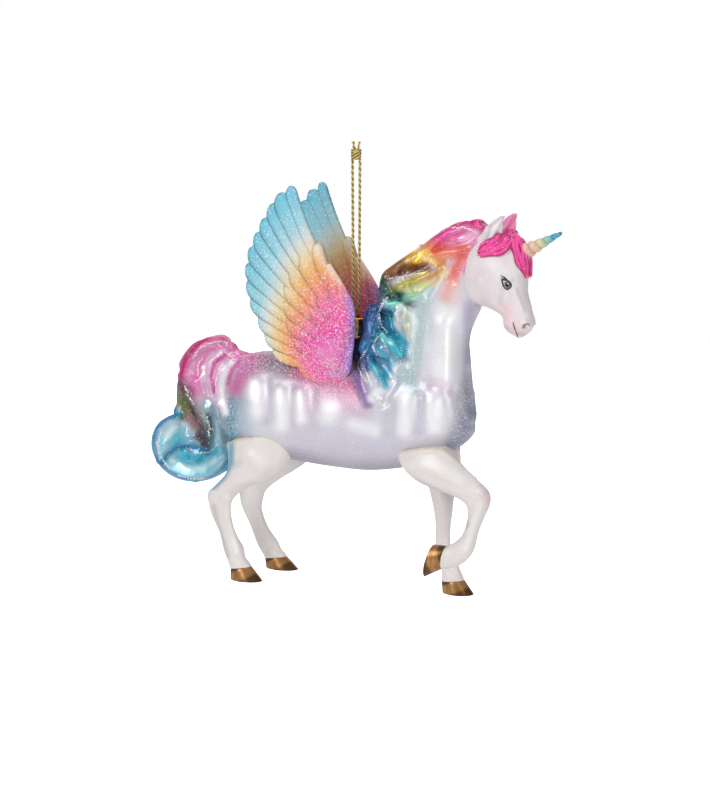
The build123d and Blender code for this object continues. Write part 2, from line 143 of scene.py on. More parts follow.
def loft(box, width, rows, side=0, per=6, around=48, ends=0.45):
    """A rounded form through the rings of a table, as in the part's source, with domed ends."""
    box = np.array(box)
    r = through(rows, per)
    low, high = box[:2] + r[:, 0:2] * box[2:4], box[:2] + r[:, 2:4] * box[2:4]
    half = r[:, 4] * width
    side_way = side * r[:, 5] * width if side else np.zeros(len(r))
    mid, arm = (low + high) / 2, (high - low) / 2
    angle = turned(around)
    rings = []
    for i in range(len(r)):
        xz = mid[i] + np.cos(angle)[:, None] * arm[i]
        rings.append(np.column_stack([xz[:, 0], side_way[i] + np.sin(angle) * half[i], xz[:, 1]]))
    for end, at, before in ((True, 0, 1), (False, -1, -2)):
        square = np.array([-arm[at][1], arm[at][0]])
        square = square / np.hypot(*square)
        if square @ (mid[at] - mid[before]) < 0:
            square = -square
        depth = ends * min(np.hypot(*arm[at]), half[at])
        centre = rings[at].mean(0)
        base = rings[at]
        for share in (0.3, 0.55, 0.78, 0.93, 1.0):
            size = math.sqrt(max(1 - share * share, 0.0004))
            ring = centre + (base - centre) * size + np.array([square[0], 0, square[1]]) * depth * share
            rings.insert(0, ring) if end else rings.append(ring)
    return skin(rings)


def tube(points, radii, flat=1.0, around=16, per=5, out=(0, 1, 0)):
    """A tapering tube; flat is its height across the given outward direction."""
    rows = through(np.column_stack([np.array(points, float), np.array(radii, float)]), per)
    at, radius = rows[:, :3], np.maximum(rows[:, 3], 0.02)
    along = unit(np.gradient(at, axis=0))
    angle = turned(around)
    rings = []
    for i in range(len(at)):
        across = np.cross(along[i], out)
        across /= np.linalg.norm(across)
        rise = np.cross(across, along[i])
        rings.append(at[i] + radius[i] * (
            np.cos(angle)[:, None] * across + flat * np.sin(angle)[:, None] * rise))
    return skin(rings)


def together(parts):
    verts, faces = [], []
    for v, f in parts:
        start = len(verts)
        verts.extend(v)
        faces.extend(tuple(i + start for i in face) for face in f)
    return verts, faces


def baked(thing):
    """The mesh that an object's modifiers or curve make; the object goes."""
    mesh = bpy.data.meshes.new_from_object(thing.evaluated_get(bpy.context.evaluated_depsgraph_get()))
    bpy.data.objects.remove(thing)
    return mesh


def fuse(name, parts, voxel, smooth):
    """One closed skin over several forms, as glass or resin has, with soft inner corners."""
    rough = piece(name + "_rough", *together(parts))
    cover = rough.modifiers.new("cover", "REMESH")
    cover.mode = "VOXEL"
    cover.voxel_size = voxel * MM
    soften = rough.modifiers.new("soften", "SMOOTH")
    soften.factor = 0.5
    soften.iterations = smooth
    mesh = baked(rough)
    mesh.name = name
    mesh.shade_smooth()
    return add(name, mesh)


# ---- painting and modelling by strokes, which are placed where the picture shows them on the near side ----
def in_picture(co):
    """Where each place shows in the picture; the left side's places are taken over to the near side."""
    p = np.array(co, float)
    p[:, 0] -= AHEAD
    p[:, 1] = -np.abs(p[:, 1])
    p = p - EYE
    depth = -(p @ BACK)
    scale = DISTANCE / PER_PIXEL / depth
    return np.column_stack([MIDDLE[0] + scale * (p @ RIGHT), MIDDLE[1] - scale * (p @ UP)])


def nearness(at, line, reach):
    """1 on a stroke's line (x, y, x, y ... in the picture), falling softly to 0 at its reach."""
    line = np.array(line, float).reshape(-1, 2)
    if len(line) == 1:
        line = np.array([line[0], line[0] + 0.01])
    best = np.full(len(at), 1e9)
    for a, b in zip(line[:-1], line[1:]):
        ab = b - a
        t = np.clip(((at - a) @ ab) / (ab @ ab), 0, 1)
        best = np.minimum(best, np.hypot(*(at - a - t[:, None] * ab).T))
    s = np.clip(1 - best / reach, 0, 1)
    return s * s * (3 - 2 * s)


def linear(colour):
    c = np.array(colour, float) / 255
    return np.where(c <= 0.04045, c / 12.92, ((c + 0.055) / 1.055) ** 2.4)


def carve(thing, strokes):
    """Raises (mm) or sinks the surface along strokes of (height, reach, line)."""
    co = places(thing)
    at = in_picture(co)
    height = np.zeros(len(co))
    for rise, reach, *line in strokes:
        height += rise * nearness(at, line, reach)
    move_to(thing, co + normals(thing) * height[:, None])


def covered(colour, at, strokes):
    """Lays strokes of (colour, reach, strength, line) over the colours of these places in the picture."""
    for tint, reach, strength, *line in strokes:
        w = strength * nearness(at, line, reach)[:, None]
        colour = colour * (1 - w) + linear(tint) * w
    return colour


def paint(thing, ground, strokes):
    at = in_picture(places(thing))
    put_colour(thing, covered(np.tile(linear(ground), (len(at), 1)), at, strokes))


def put_colour(thing, colour):
    layer = thing.data.color_attributes.new("Paint", "FLOAT_COLOR", "POINT")
    opaque = np.column_stack([colour, np.ones(len(colour))])
    layer.data.foreach_set("color", opaque.astype(np.float32).ravel())


def put_value(thing, name, value):
    layer = thing.data.attributes.new(name, "FLOAT", "POINT")
    layer.data.foreach_set("value", np.asarray(value, np.float32))


def amount(thing, name, ground, strokes):
    """A value over the surface from strokes of (value, reach, line)."""
    at = in_picture(places(thing))
    value = np.full(len(at), float(ground))
    for level, reach, *line in strokes:
        w = nearness(at, line, reach)
        value = value * (1 - w) + level * w
    put_value(thing, name, value)


# ---- materials ----
class Maker:
    """Adds nodes to one material."""

    def __init__(self, name):
        self.material = bpy.data.materials.new(name)
        self.material.use_nodes = True
        self.tree = self.material.node_tree
        self.shader = self.tree.nodes["Principled BSDF"]

    def node(self, kind, inputs=None, **settings):
        made = self.tree.nodes.new("ShaderNode" + kind)
        for key, value in settings.items():
            setattr(made, key, value)
        for key, value in (inputs or {}).items():
            self.feed(made.inputs[key], value)
        return made

    def feed(self, socket, value):
        if isinstance(value, bpy.types.NodeSocket):
            self.tree.links.new(value, socket)
        else:
            socket.default_value = value

    def join(self, *pairs):
        for out, into in pairs:
            self.tree.links.new(out, into)

    def attribute(self, name, out="Fac"):
        return self.node("Attribute", attribute_name=name).outputs[out]

    def where(self):
        return self.node("TexCoord").outputs["Object"]

    def noise(self, scale, detail=3.0, rough=0.5):
        return self.node("TexNoise", {"Vector": self.where(), "Scale": scale, "Detail": detail,
                                      "Roughness": rough}).outputs["Fac"]

    def cells(self, scale, out="Color"):
        return self.node("TexVoronoi", {"Vector": self.where(), "Scale": scale}).outputs[out]

    def spread(self, value, low, high, to_low=0.0, to_high=1.0):
        return self.node("MapRange", {"Value": value, "From Min": low, "From Max": high,
                                      "To Min": to_low, "To Max": to_high}).outputs["Result"]

    def math(self, way, a, b=0.0):
        made = self.node("Math", operation=way)
        self.feed(made.inputs[0], a)
        self.feed(made.inputs[1], b)
        return made.outputs[0]

    def mix(self, share, a, b, way="MIX"):
        made = self.node("Mix", data_type="RGBA", blend_type=way)
        for index, value in ((0, share), (6, a), (7, b)):
            self.feed(made.inputs[index], value)
        return made.outputs[2]

    def ramp(self, share, stops):
        made = self.node("ValToRGB", {"Fac": share})
        marks = made.color_ramp.elements
        while len(marks) < len(stops):
            marks.new(0.5)
        for mark, (at, colour) in zip(marks, stops):
            mark.position = at
            mark.color = (*linear(colour), 1)
        return made.outputs["Color"]

    def bump(self, height, strength, distance):
        inputs = {"Height": height, "Strength": strength, "Distance": distance * MM}
        return self.node("Bump", inputs).outputs[0]

    def set(self, **sockets):
        for key, value in sockets.items():
            self.feed(self.shader.inputs[key.replace("_", " ")], value)
        return self.material


def coated(name, metallic, rough, coat, coat_rough, flake, mottle, flake_share, barbs=False):
    """Paint with fine mottling, and glitter flakes where the Glitter value is high."""
    m = Maker(name)
    paint_layer = m.attribute("Paint", "Color")
    soft = m.noise(160, 4)
    fine = m.noise(1500, 3)
    tone = m.spread(soft, 0.3, 0.7, 1 - mottle, 1 + mottle * 0.5)
    tone = m.math("MULTIPLY", tone, m.spread(fine, 0.25, 0.75, 0.965, 1.03))
    grey = m.node("CombineColor")
    for index in range(3):
        m.feed(grey.inputs[index], tone)
    base = m.mix(1.0, paint_layer, grey.outputs[0], "MULTIPLY")
    chance = m.node("SeparateColor", {"Color": m.cells(flake)})
    limit = m.math("SUBTRACT", 1.0, m.math("MULTIPLY", m.attribute("Glitter"), flake_share))
    lit = m.math("GREATER_THAN", chance.outputs[0], limit)
    round_cell = m.math("LESS_THAN", m.cells(flake, "Distance"), 0.46)
    lit = m.math("MULTIPLY", lit, round_cell)
    sparks = [(0.0, (255, 250, 240)), (0.35, (255, 255, 255)), (0.5, (255, 214, 240)),
              (0.65, (190, 240, 250)), (0.8, (255, 240, 170)), (1.0, (235, 225, 255))]
    spark = m.ramp(chance.outputs[1], sparks)
    bright = m.mix(m.spread(chance.outputs[2], 0.0, 1.0, 0.25, 0.95), base, spark)
    base = m.mix(lit, base, bright)
    grain = m.math("ADD", m.math("MULTIPLY", lit, 0.3), m.math("MULTIPLY", fine, 0.5))
    gloss = m.math("MULTIPLY", m.attribute("Gloss"), 0.16)
    rough_map = m.math("SUBTRACT", m.spread(soft, 0.3, 0.7, rough - 0.04, rough + 0.05), gloss)
    if barbs:
        side = m.math("ABSOLUTE", m.attribute("Across"))
        wave = m.math("SINE", m.math("MULTIPLY", m.math("SUBTRACT", m.attribute("Along"), side), 9.0))
        grain = m.math("ADD", grain, m.math("MULTIPLY", wave, 0.3))
    return m.set(Base_Color=base, Metallic=metallic, Roughness=rough_map, Coat_Weight=coat,
                 Coat_Roughness=coat_rough, Normal=m.bump(grain, 0.3, 0.10))


glass_paint = coated("satin_silvered_glass", metallic=0.28, rough=0.44, coat=0.15, coat_rough=0.25,
                     flake=2900, mottle=0.04, flake_share=0.42)
resin_paint = coated("pearl_painted_resin", metallic=0.04, rough=0.46, coat=0.08, coat_rough=0.3,
                     flake=3300, mottle=0.035, flake_share=0.25)
wing_paint = coated("glittered_resin", metallic=0.04, rough=0.48, coat=0.06, coat_rough=0.3,
                    flake=2500, mottle=0.06, flake_share=0.55, barbs=True)


def bronze_paint():
    m = Maker("bronze_paint")
    grained = m.node("Mapping", {"Vector": m.where(), "Scale": (900, 900, 140)}).outputs[0]
    streak = m.node("TexNoise", {"Vector": grained, "Scale": 1.0, "Detail": 4.0}).outputs["Fac"]
    tint = m.ramp(streak, [(0.2, (140, 96, 54)), (0.5, (172, 124, 74)), (0.8, (206, 160, 104))])
    tint = m.mix(m.attribute("Edge"), tint, (*linear((74, 46, 26)), 1))
    return m.set(Base_Color=tint, Metallic=0.6, Roughness=m.spread(streak, 0.3, 0.7, 0.42, 0.28),
                 Normal=m.bump(streak, 0.25, 0.08))


def gold_metal():
    m = Maker("gold_plated_metal")
    wear = m.noise(700, 5)
    tint = m.ramp(wear, [(0.3, (176, 128, 54)), (0.55, (222, 178, 92)), (0.8, (240, 206, 130))])
    return m.set(Base_Color=tint, Metallic=1.0, Roughness=m.spread(wear, 0.3, 0.7, 0.2, 0.34),
                 Normal=m.bump(m.noise(2600, 2), 0.12, 0.03))


def gold_cord():
    m = Maker("metallic_cord")
    fibre = m.noise(4200, 3)
    # Depth is how far out a vertex lies; the ramp on it paints shade in the grooves between the plies and a
    # painted highlight on their crowns
    depth = m.attribute("Depth")
    tint = m.ramp(depth, [(0.3, (64, 56, 26)), (0.6, (150, 124, 58)), (0.88, (226, 200, 120))])
    tint = m.mix(m.spread(fibre, 0.35, 0.65, 0.0, 0.35), tint, (*linear((250, 232, 170)), 1))
    return m.set(Base_Color=tint, Metallic=0.55, Roughness=m.spread(fibre, 0.3, 0.7, 0.5, 0.32),
                 Normal=m.bump(fibre, 0.5, 0.06))


def flake_paint():
    m = Maker("glitter_flake")
    tint = m.mix(m.spread(m.noise(2200, 1), 0.4, 0.6, 0.0, 0.25), m.attribute("Paint", "Color"), (1, 1, 1, 1))
    return m.set(Base_Color=tint, Metallic=0.05, Roughness=m.spread(m.noise(900, 1), 0.3, 0.7, 0.25, 0.4))


def ink_paint(name, colour, rough, coat):
    m = Maker(name)
    worn = m.noise(3000, 3)
    dark = tuple(max(0, c * 0.8) for c in colour)
    return m.set(Base_Color=m.ramp(worn, [(0.35, colour), (0.7, dark)]), Coat_Weight=coat,
                 Roughness=m.spread(worn, 0.3, 0.7, rough, rough + 0.12), Coat_Roughness=0.08)


bronze = bronze_paint()
gold = gold_metal()
cord_thread = gold_cord()
flake = flake_paint()
ink = ink_paint("black_enamel", (26, 24, 28), 0.25, 0.5)
eye_white = ink_paint("eye_white", (238, 236, 236), 0.2, 0.6)
iris_grey = ink_paint("eye_grey", (112, 112, 122), 0.2, 0.6)


def dress(thing, material, body="ornament", stands_for=()):
    thing.data.materials.clear()
    thing.data.materials.append(material)
    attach(thing, body)
    if stands_for:
        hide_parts(*stands_for)
    return thing


# ---- cord ----
LAY, PLY = 3.4, 0.26             # a full turn of the twist, and the radius of each of its two plies
WRAP, WRAP_TURNS, KNOT_TALL = 1.14, 1.6, 2.5
ROUTE = [(-1.25, 0, 0), (-0.97, 0, -38.6), (-1.1, 0, -44.8), (1.1, 0, -44.8), (0.97, 0, -38.6), (1.25, 0, 0)]


def route_points(route):
    curve = bpy.data.curves.new("route", "CURVE")
    curve.dimensions = "3D"
    line = curve.splines.new("NURBS")
    line.points.add(len(route) - 1)
    for point, place in zip(line.points, route):
        point.co = (*(c * MM for c in place), 1)
    line.order_u = 3
    line.use_endpoint_u = True
    line.resolution_u = 40
    bare = add("route", curve)
    return np.array([v.co for v in baked(bare).vertices], float) / MM


def evenly(line, step):
    """Points a step apart along a line."""
    run = np.concatenate([[0], np.cumsum(np.linalg.norm(np.diff(line, axis=0), axis=1))])
    count = max(2, int(run[-1] / step))
    at = np.linspace(0, run[-1], count + 1)
    return between(at, run, line), at


def twisted(line, across, lay, ply):
    """Two plies wound round a line; returns their tubes and how far out each vertex lies."""
    at, run = evenly(line, lay / 12)
    along = unit(np.gradient(at, axis=0))
    parts, depth = [], []
    angle = turned(10)
    for start in (0, math.pi):
        phase = 2 * math.pi * run / lay + start
        a = unit(np.cross(along, across))
        b = np.cross(a, along)
        centre = at + ply * 0.92 * (np.cos(phase)[:, None] * a + np.sin(phase)[:, None] * b)
        rings = [centre[i] + ply * (np.cos(angle)[:, None] * a[i] + np.sin(angle)[:, None] * b[i])
                 for i in range(len(at))]
        parts.append(skin(rings))
        depth.extend(np.linalg.norm(rings[i] - at[i], axis=1) for i in range(len(at)))
    return together(parts), np.clip(np.concatenate(depth) / (2 * ply), 0, 1)


cord_line = route_points(ROUTE)
cord_skin, cord_depth = twisted(cord_line, (0, 1, 0), LAY, PLY)
cord = piece("hanging_cord_twist", *cord_skin)
put_value(cord, "Depth", cord_depth)

knot_parts, knot_depth = [], []
for start in (0, math.pi):
    t = np.linspace(0, 1, 60)
    wrap = start + 2 * math.pi * WRAP_TURNS * t
    wrap_line = np.column_stack([WRAP * np.cos(wrap), WRAP * np.sin(wrap), 0.55 + KNOT_TALL * t])
    enter = np.array([[math.copysign(1.25, math.cos(start)), 0, 0.05]])
    leave = np.array([[0.62 * math.cos(start), 0.25 * math.sin(wrap[-1]), 3.4],
                      [0.85 * math.cos(start), 0.1, 4.5], [1.05 * math.cos(start), 0.0, 5.6]])
    made, deep = twisted(through(np.vstack([enter, wrap_line, leave]), 3), (0.3, 0.2, 0.9), LAY, PLY)
    knot_parts.append(made)
    knot_depth.append(deep)
core_rings = [[(0.7 * math.cos(a) * s, 0.7 * math.sin(a) * s, z) for a in turned(19)]
              for z, s in ((0.3, 0.5), (0.8, 1), (2.0, 1.1), (3.0, 1), (3.5, 0.5))]
core = skin(core_rings)
knot = piece("cord_knot_wraps", *together(knot_parts + [core]))
# the knot's core gets a low Depth, so it is painted dark: painted shade inside the wraps
put_value(knot, "Depth", np.concatenate(knot_depth + [np.full(len(core[0]), 0.3)]))
dress(knot, cord_thread, "cord", ("cord_knot",))
dress(cord, cord_thread, "cord", ("hanging_cord",))

# ---- the animal's forms: the part's tables, some rows brought nearer to the picture ----
RUMP, LENGTH, BELLY, BARREL, BROAD = -45.3, 83.5, 36.6, 33.5, 28.0
NECK_LONG, NECK_TALL, NECK_BROAD = 44.0, 64.0, 24.0
LIMB_BROAD, WING_THICK = 14.0, 4.2          # head, legs and tail share the first
TAIL_ROLL, MANE_LOCK, PIKE = 2.6, 3.0, 3.5  # radii of the tail's roll, the mane's locks and the glass neck
CROUP = GROUND + BELLY + BARREL
TORSO = (RUMP, GROUND + BELLY, LENGTH, BARREL)
NECK = (RUMP + 0.58 * LENGTH, GROUND + BELLY + 0.4 * BARREL, NECK_LONG, NECK_TALL)
TAIL = (RUMP + 0.1 * LENGTH, CROUP, 36.0, 43.5)
HEAD = (NECK[0] + 0.73 * NECK_LONG, NECK[1] + 0.47 * NECK_TALL, 22.5, 32.0)
HIND = (RUMP, GROUND, BELLY, BELLY)
FORE = (RUMP + 0.75 * LENGTH, GROUND, BELLY, BELLY)
WING = (RUMP + 0.557 * LENGTH, GROUND + BELLY + 0.88 * BARREL, 33.0, 56.5)


def hundredths(*rows):
    """A table's rows, written in hundredths of the form's box."""
    return [tuple(row) for row in np.array(rows) / 100]


torso_rows = hundredths(
    (0, 42, 0, 70, 13), (2, 24, 2, 84, 29), (8, 12, 8, 94, 42), (17, 6, 17, 100, 50), (32, 2, 32, 100, 50),
    (46, 0, 46, 98, 49), (60, 0, 60, 101, 49), (73, 5, 73, 108, 48), (83, 12, 83, 110, 45),
    (92, 22, 92, 107, 38), (97, 34, 97, 100, 29), (100, 50, 100, 84, 16))
neck_rows = hundredths(
    (4, 12, 79, 1, 46), (5, 30, 82, 16, 46), (7, 45, 81, 30, 42), (12, 60, 80, 42, 36),
    (22, 73, 83, 53, 31), (37, 83, 87, 63, 26), (53, 91, 89, 74, 22), (70, 96, 91, 84, 18),
    (83, 98, 91, 91, 10))
tail_outline = hundredths(
    (6, -5), (-12, -2), (-29, 5.5), (-45, 4), (-60, -6), (-69, -20), (-71, -37), (-72, -51), (-87, -56),
    (-97, -67), (-98, -80), (-89, -92), (-72, -99), (-52, -99), (-34, -94), (-22, -83), (-15, -65),
    (-5, -42), (3, -23))
tail_roll = hundredths(
    (8, -17, 8, 40), (-9, -10, 14, 70), (-24, -2, 18, 85), (-42, 0, 22, 95), (-55, -10, 24, 95),
    (-61, -23, 28, 95), (-62, -38, 33, 95), (-59, -52, 37, 95), (-52, -63, 39, 100), (-43, -73, 40, 90),
    (-46, -82, 40, 75), (-56, -83, 40, 60), (-61, -75, 41, 45))
mane_locks = [
    hundredths((86, 96, 2, 60), (75, 96.5, 7, 95), (62, 93, 10, 100), (52, 88, 13, 90), (45, 82, 17, 75),
               (44, 76, 21, 45)),
    hundredths((46, 87, 5, 70), (37, 81, 10, 100), (26, 76, 14, 100), (18, 71, 18, 85), (17, 64, 24, 55)),
    hundredths((27, 74, 20, 80), (36, 67, 27, 95), (45, 63, 31, 80), (53, 61, 32, 40)),
    hundredths((19, 69, 17, 85), (25, 62, 26, 100), (32, 57, 33, 100), (37, 50, 37, 95), (35, 43, 40, 80),
               (39, 36, 43, 55), (42, 31, 45, 30)),
    hundredths((13, 59, 14, 100), (15, 50, 22, 100), (18, 42, 31, 100), (28, 37, 39, 85), (35, 32, 44, 65),
               (38, 27, 46, 35)),
    hundredths((14, 47, 20, 90), (12, 38, 28, 90), (13, 29, 38, 90), (17, 21, 47, 80), (22, 15, 52, 55),
               (26, 12, 54, 30)),
]
head_rows = hundredths(
    (22, 91, 47, 99, 20), (8, 77, 71, 89, 39), (0, 60, 86, 73, 47), (1, 44, 89, 56, 50),
    (12, 31, 89, 42, 45), (40, 25, 92, 33, 35), (56, 19, 96, 24, 30), (59, 11, 99, 16, 31),
    (64, 5, 96, 8, 26), (75, 1, 88, 3, 14))
ear_rows = hundredths(
    (34, 83, 59, 87, 11, 31), (38, 95, 64, 96, 12, 34), (49, 105, 67, 104, 8, 33),
    (60, 110, 67, 109, 4, 30))
leg_rows = {
    "hind_right": hundredths(
        (16, 138, 76, 140, 32, 38), (14, 128, 78, 130, 40, 43), (13, 115, 76, 119, 45, 48),
        (15, 99, 68, 101, 41, 55), (13, 89, 55, 89, 34, 60), (4, 79, 37, 81, 27, 64),
        (-4, 71, 22, 70, 22, 64), (-3, 62, 17, 61, 19, 64), (0, 52, 17, 50, 16, 64),
        (7, 39, 21, 38, 15, 64), (11, 24, 29, 28, 17, 64), (14, 17, 31, 19, 16, 64),
        (17, 10, 36, 13, 19, 64), (19, 5, 37, 6, 17, 64)),
    "hind_left": hundredths(
        (16, 138, 76, 140, 32, 38), (15, 128, 78, 130, 40, 43), (15, 115, 77, 117, 45, 48),
        (17, 99, 65, 97, 41, 55), (15, 89, 54, 88, 34, 60), (7, 78, 38, 78, 27, 64),
        (-2, 68, 24, 67, 22, 64), (-2, 60, 20, 58, 19, 64), (0, 50, 19, 48, 16, 64),
        (8, 35, 25, 34, 15, 64), (14, 21, 34, 23, 17, 64), (18, 14, 38, 16, 16, 64),
        (22, 9, 42, 12, 19, 64), (24, 4, 44, 5, 17, 64)),
    "front_left": hundredths(
        (2, 136, 34, 138, 28, 34), (2, 124, 37, 127, 33, 40), (3, 112, 39, 114, 34, 44),
        (7, 97, 37, 98, 30, 48), (11, 86, 34, 86, 24, 49), (14, 75, 32, 75, 21, 49),
        (16, 66, 31, 65, 20, 49), (17, 56, 30, 56, 16, 49), (17, 39, 30, 39, 14, 49),
        (20, 26, 36, 26, 17, 49), (23, 17, 39, 19, 16, 49), (23, 10, 42, 13, 19, 49),
        (25, 5, 44, 6, 17, 49)),
    "front_right": hundredths(
        (0, 126, 38, 146, 30, 34), (0, 118, 44, 140, 38, 42), (8, 108, 48, 130, 40, 50),
        (22, 100, 54, 122, 35, 60), (39, 95, 63, 114, 28, 64), (52, 92, 73, 107, 23, 64),
        (62, 88, 84, 98, 21, 64), (66, 83, 85, 88, 20, 64), (66, 74, 80, 76, 16, 64),
        (62, 62, 75, 63, 15, 64), (58, 57, 71, 48, 17, 64), (53, 53, 63, 38, 16, 64),
        (48, 50, 51, 32, 19, 64), (43, 48, 42, 31, 17, 64)),
}
hoof_rows = {
    "hind_right": hundredths((18, 9, 36, 12, 20, 64), (18, 0, 47, 0, 26, 64)),
    "hind_left": hundredths((23, 8, 42, 11, 20, 64), (24, 0, 54, 0, 26, 64)),
    "front_left": hundredths((23, 9, 42, 12, 20, 49), (24, 0, 51, 0, 26, 49)),
    "front_right": hundredths((47, 50, 44, 31, 20, 64), (36, 50, 29, 23, 26, 64)),
}


def spot(box, along, up):
    return box[0] + along * box[2], box[1] + up * box[3]


def lock_tube(box, width, size, rows, side, flat=1.0):
    points = [(spot(box, r[0], r[1])[0], side * r[2] * width, spot(box, r[0], r[1])[1]) for r in rows]
    return tube(points, [r[3] * size for r in rows], flat, around=24)


def tail_pillow():
    """The tail as one rounded slab with the picture's outline."""
    closed = tail_outline + tail_outline[:3]
    line = np.array([spot(TAIL, a, u) for a, u in through(closed, 8)[8:-9]])
    centre = np.array(spot(TAIL, -0.47, -0.46))
    rings = []
    for out in np.sin(np.linspace(-1, 1, 25) * math.pi / 2):
        size = max(0.30, (1 - abs(out) ** 2.4) ** 0.47)
        ring = centre + (line - centre) * size
        rings.append(np.column_stack([ring[:, 0], np.full(len(ring), out * 7.0), ring[:, 1]]))
    return skin(rings)


pike = skin([[(PIKE * math.cos(a), PIKE * math.sin(a), z) for a in turned(40)]
             for z in (-76, -68, -60, -54, -48, -46.9)])
parts = [loft(TORSO, BROAD, torso_rows), loft(NECK, NECK_BROAD, neck_rows), tail_pillow(), pike]
for side in (-1, 1):
    parts.append(lock_tube(TAIL, LIMB_BROAD, TAIL_ROLL, tail_roll, side))
    for rows in mane_locks:
        parts.append(lock_tube(NECK, NECK_BROAD, MANE_LOCK, rows, side, flat=0.9))
for y, drop, radius in ((0.0, 0.9, 2.2), (-3.0, 1.7, 2.0), (3.0, 1.7, 2.0)):     # a saddle
    saddle = [(-47.0, -58.6), (-43.6, -59.3), (-40.4, -60.6), (-37.0, -61.2), (-33.0, -61.6)]
    parts.append(tube([(x, y, z - drop) for x, z in saddle], [radius] * 5, around=20))
body = fuse("glass_shell", parts, voxel=0.45, smooth=9)

body_relief = [
    # outline brought to the picture's at the crest, the tail's back and the chest
    (-2.0, 13, 368,296, 374,276, 386,260, 404,246, 424,232, 444,222, 464,219),
    (-1.2, 10, 172,370, 170,386, 172,402), (-1.3, 26, 464,330, 468,370, 470,402),
    (-2.0, 17, 479,376, 479,394, 478,408), (0.8, 12, 467,431, 460,438),
    # ripples of the flank and the rump
    (0.5, 12, 250,382, 251,402), (0.5, 10, 277,392, 278,420), (0.45, 10, 297,394, 298,418),
    (0.5, 17, 326,411), (-0.5, 9, 264,380, 265,400, 268,424), (-0.45, 9, 288,388, 288,422),
    (-0.45, 10, 309,392, 310,408, 309,424), (-0.4, 10, 234,392, 237,412, 240,432),
    # shoulder and chest
    (0.6, 12, 404,400, 403,428), (0.7, 12, 430,402, 433,430), (-0.7, 8, 418,396, 417,432),
    (-0.7, 9, 388,404, 387,436), (0.7, 16, 443,326, 444,356, 440,384),
    (-0.6, 11, 424,320, 421,350, 418,380), (-0.6, 9, 432,386, 450,390),
    # mane, from the poll down
    (1.2, 8, 480,230, 462,228, 446,232, 434,241, 427,250), (-1.0, 6, 472,238, 458,246, 444,243, 433,249),
    (1.1, 8, 474,243, 460,251, 445,253, 430,256, 415,262), (-1.6, 7, 424,268, 410,269, 398,273, 388,278),
    (1.1, 4, 430,263, 424,270, 410,275, 396,278, 386,280), (1.0, 6, 438,269, 425,278, 410,283, 398,288),
    (-1.2, 7, 432,276, 416,289, 401,297, 388,299), (-0.8, 7, 468,246, 457,263, 450,280),
    (0.7, 8, 447,262, 441,280, 430,300), (1.3, 7, 384,306, 392,303, 400,306, 408,313, 411,323, 406,333),
    (1.5, 7, 384,298, 377,312, 378,325, 384,336, 392,345, 396,356),
    (1.1, 6, 396,312, 393,321, 398,332, 404,342, 403,354), (-1.7, 6, 386,314, 387,327, 394,337),
    (-1.0, 5, 401,322, 406,340, 404,352), (1.2, 8, 372,307, 365,320, 361,334, 358,348),
    (-1.1, 6, 376,328, 371,342, 366,352), (1.4, 7, 372,346, 366,356, 369,366, 377,376, 382,386),
    (-1.3, 6, 384,352, 381,364, 388,376), (1.0, 7, 354,373, 359,386, 366,402),
    (-1.1, 6, 362,368, 368,382, 375,396), (-0.9, 7, 404,360, 397,376, 386,392, 380,404),
    # tail: rim, folds, strand and scroll
    (1.2, 7, 231,344, 221,340, 207,342, 195,350, 187,362, 182,376, 181,390),
    (-1.4, 7, 234,356, 221,350, 208,353, 199,362, 194,374),
    (1.8, 9, 184,376, 188,390, 195,403, 201,416, 203,430, 199,441),
    (1.1, 5, 218,352, 209,363, 207,376, 212,391, 218,404),
    (1.2, 5, 234,358, 223,368, 217,383, 219,400, 224,416), (-1.2, 6, 226,356, 216,368, 212,382, 216,396),
    (-1.2, 6, 203,366, 201,382, 206,396),
    (1.4, 6, 178,417, 168,421, 159,429, 156,441, 158,455, 167,466, 180,474, 194,477, 207,474, 218,467,
     225,458),
    (1.2, 6, 187,441, 176,445, 167,451, 161,459), (1.4, 6, 192,441),
    (-1.7, 9, 176,462, 188,466, 202,463, 212,452), (-1.5, 8, 163,437, 169,429, 178,428),
    (0.9, 5, 183,452, 195,454, 207,446, 211,432), (0.9, 7, 208,408, 216,424, 220,442),
]
carve(body, body_relief)

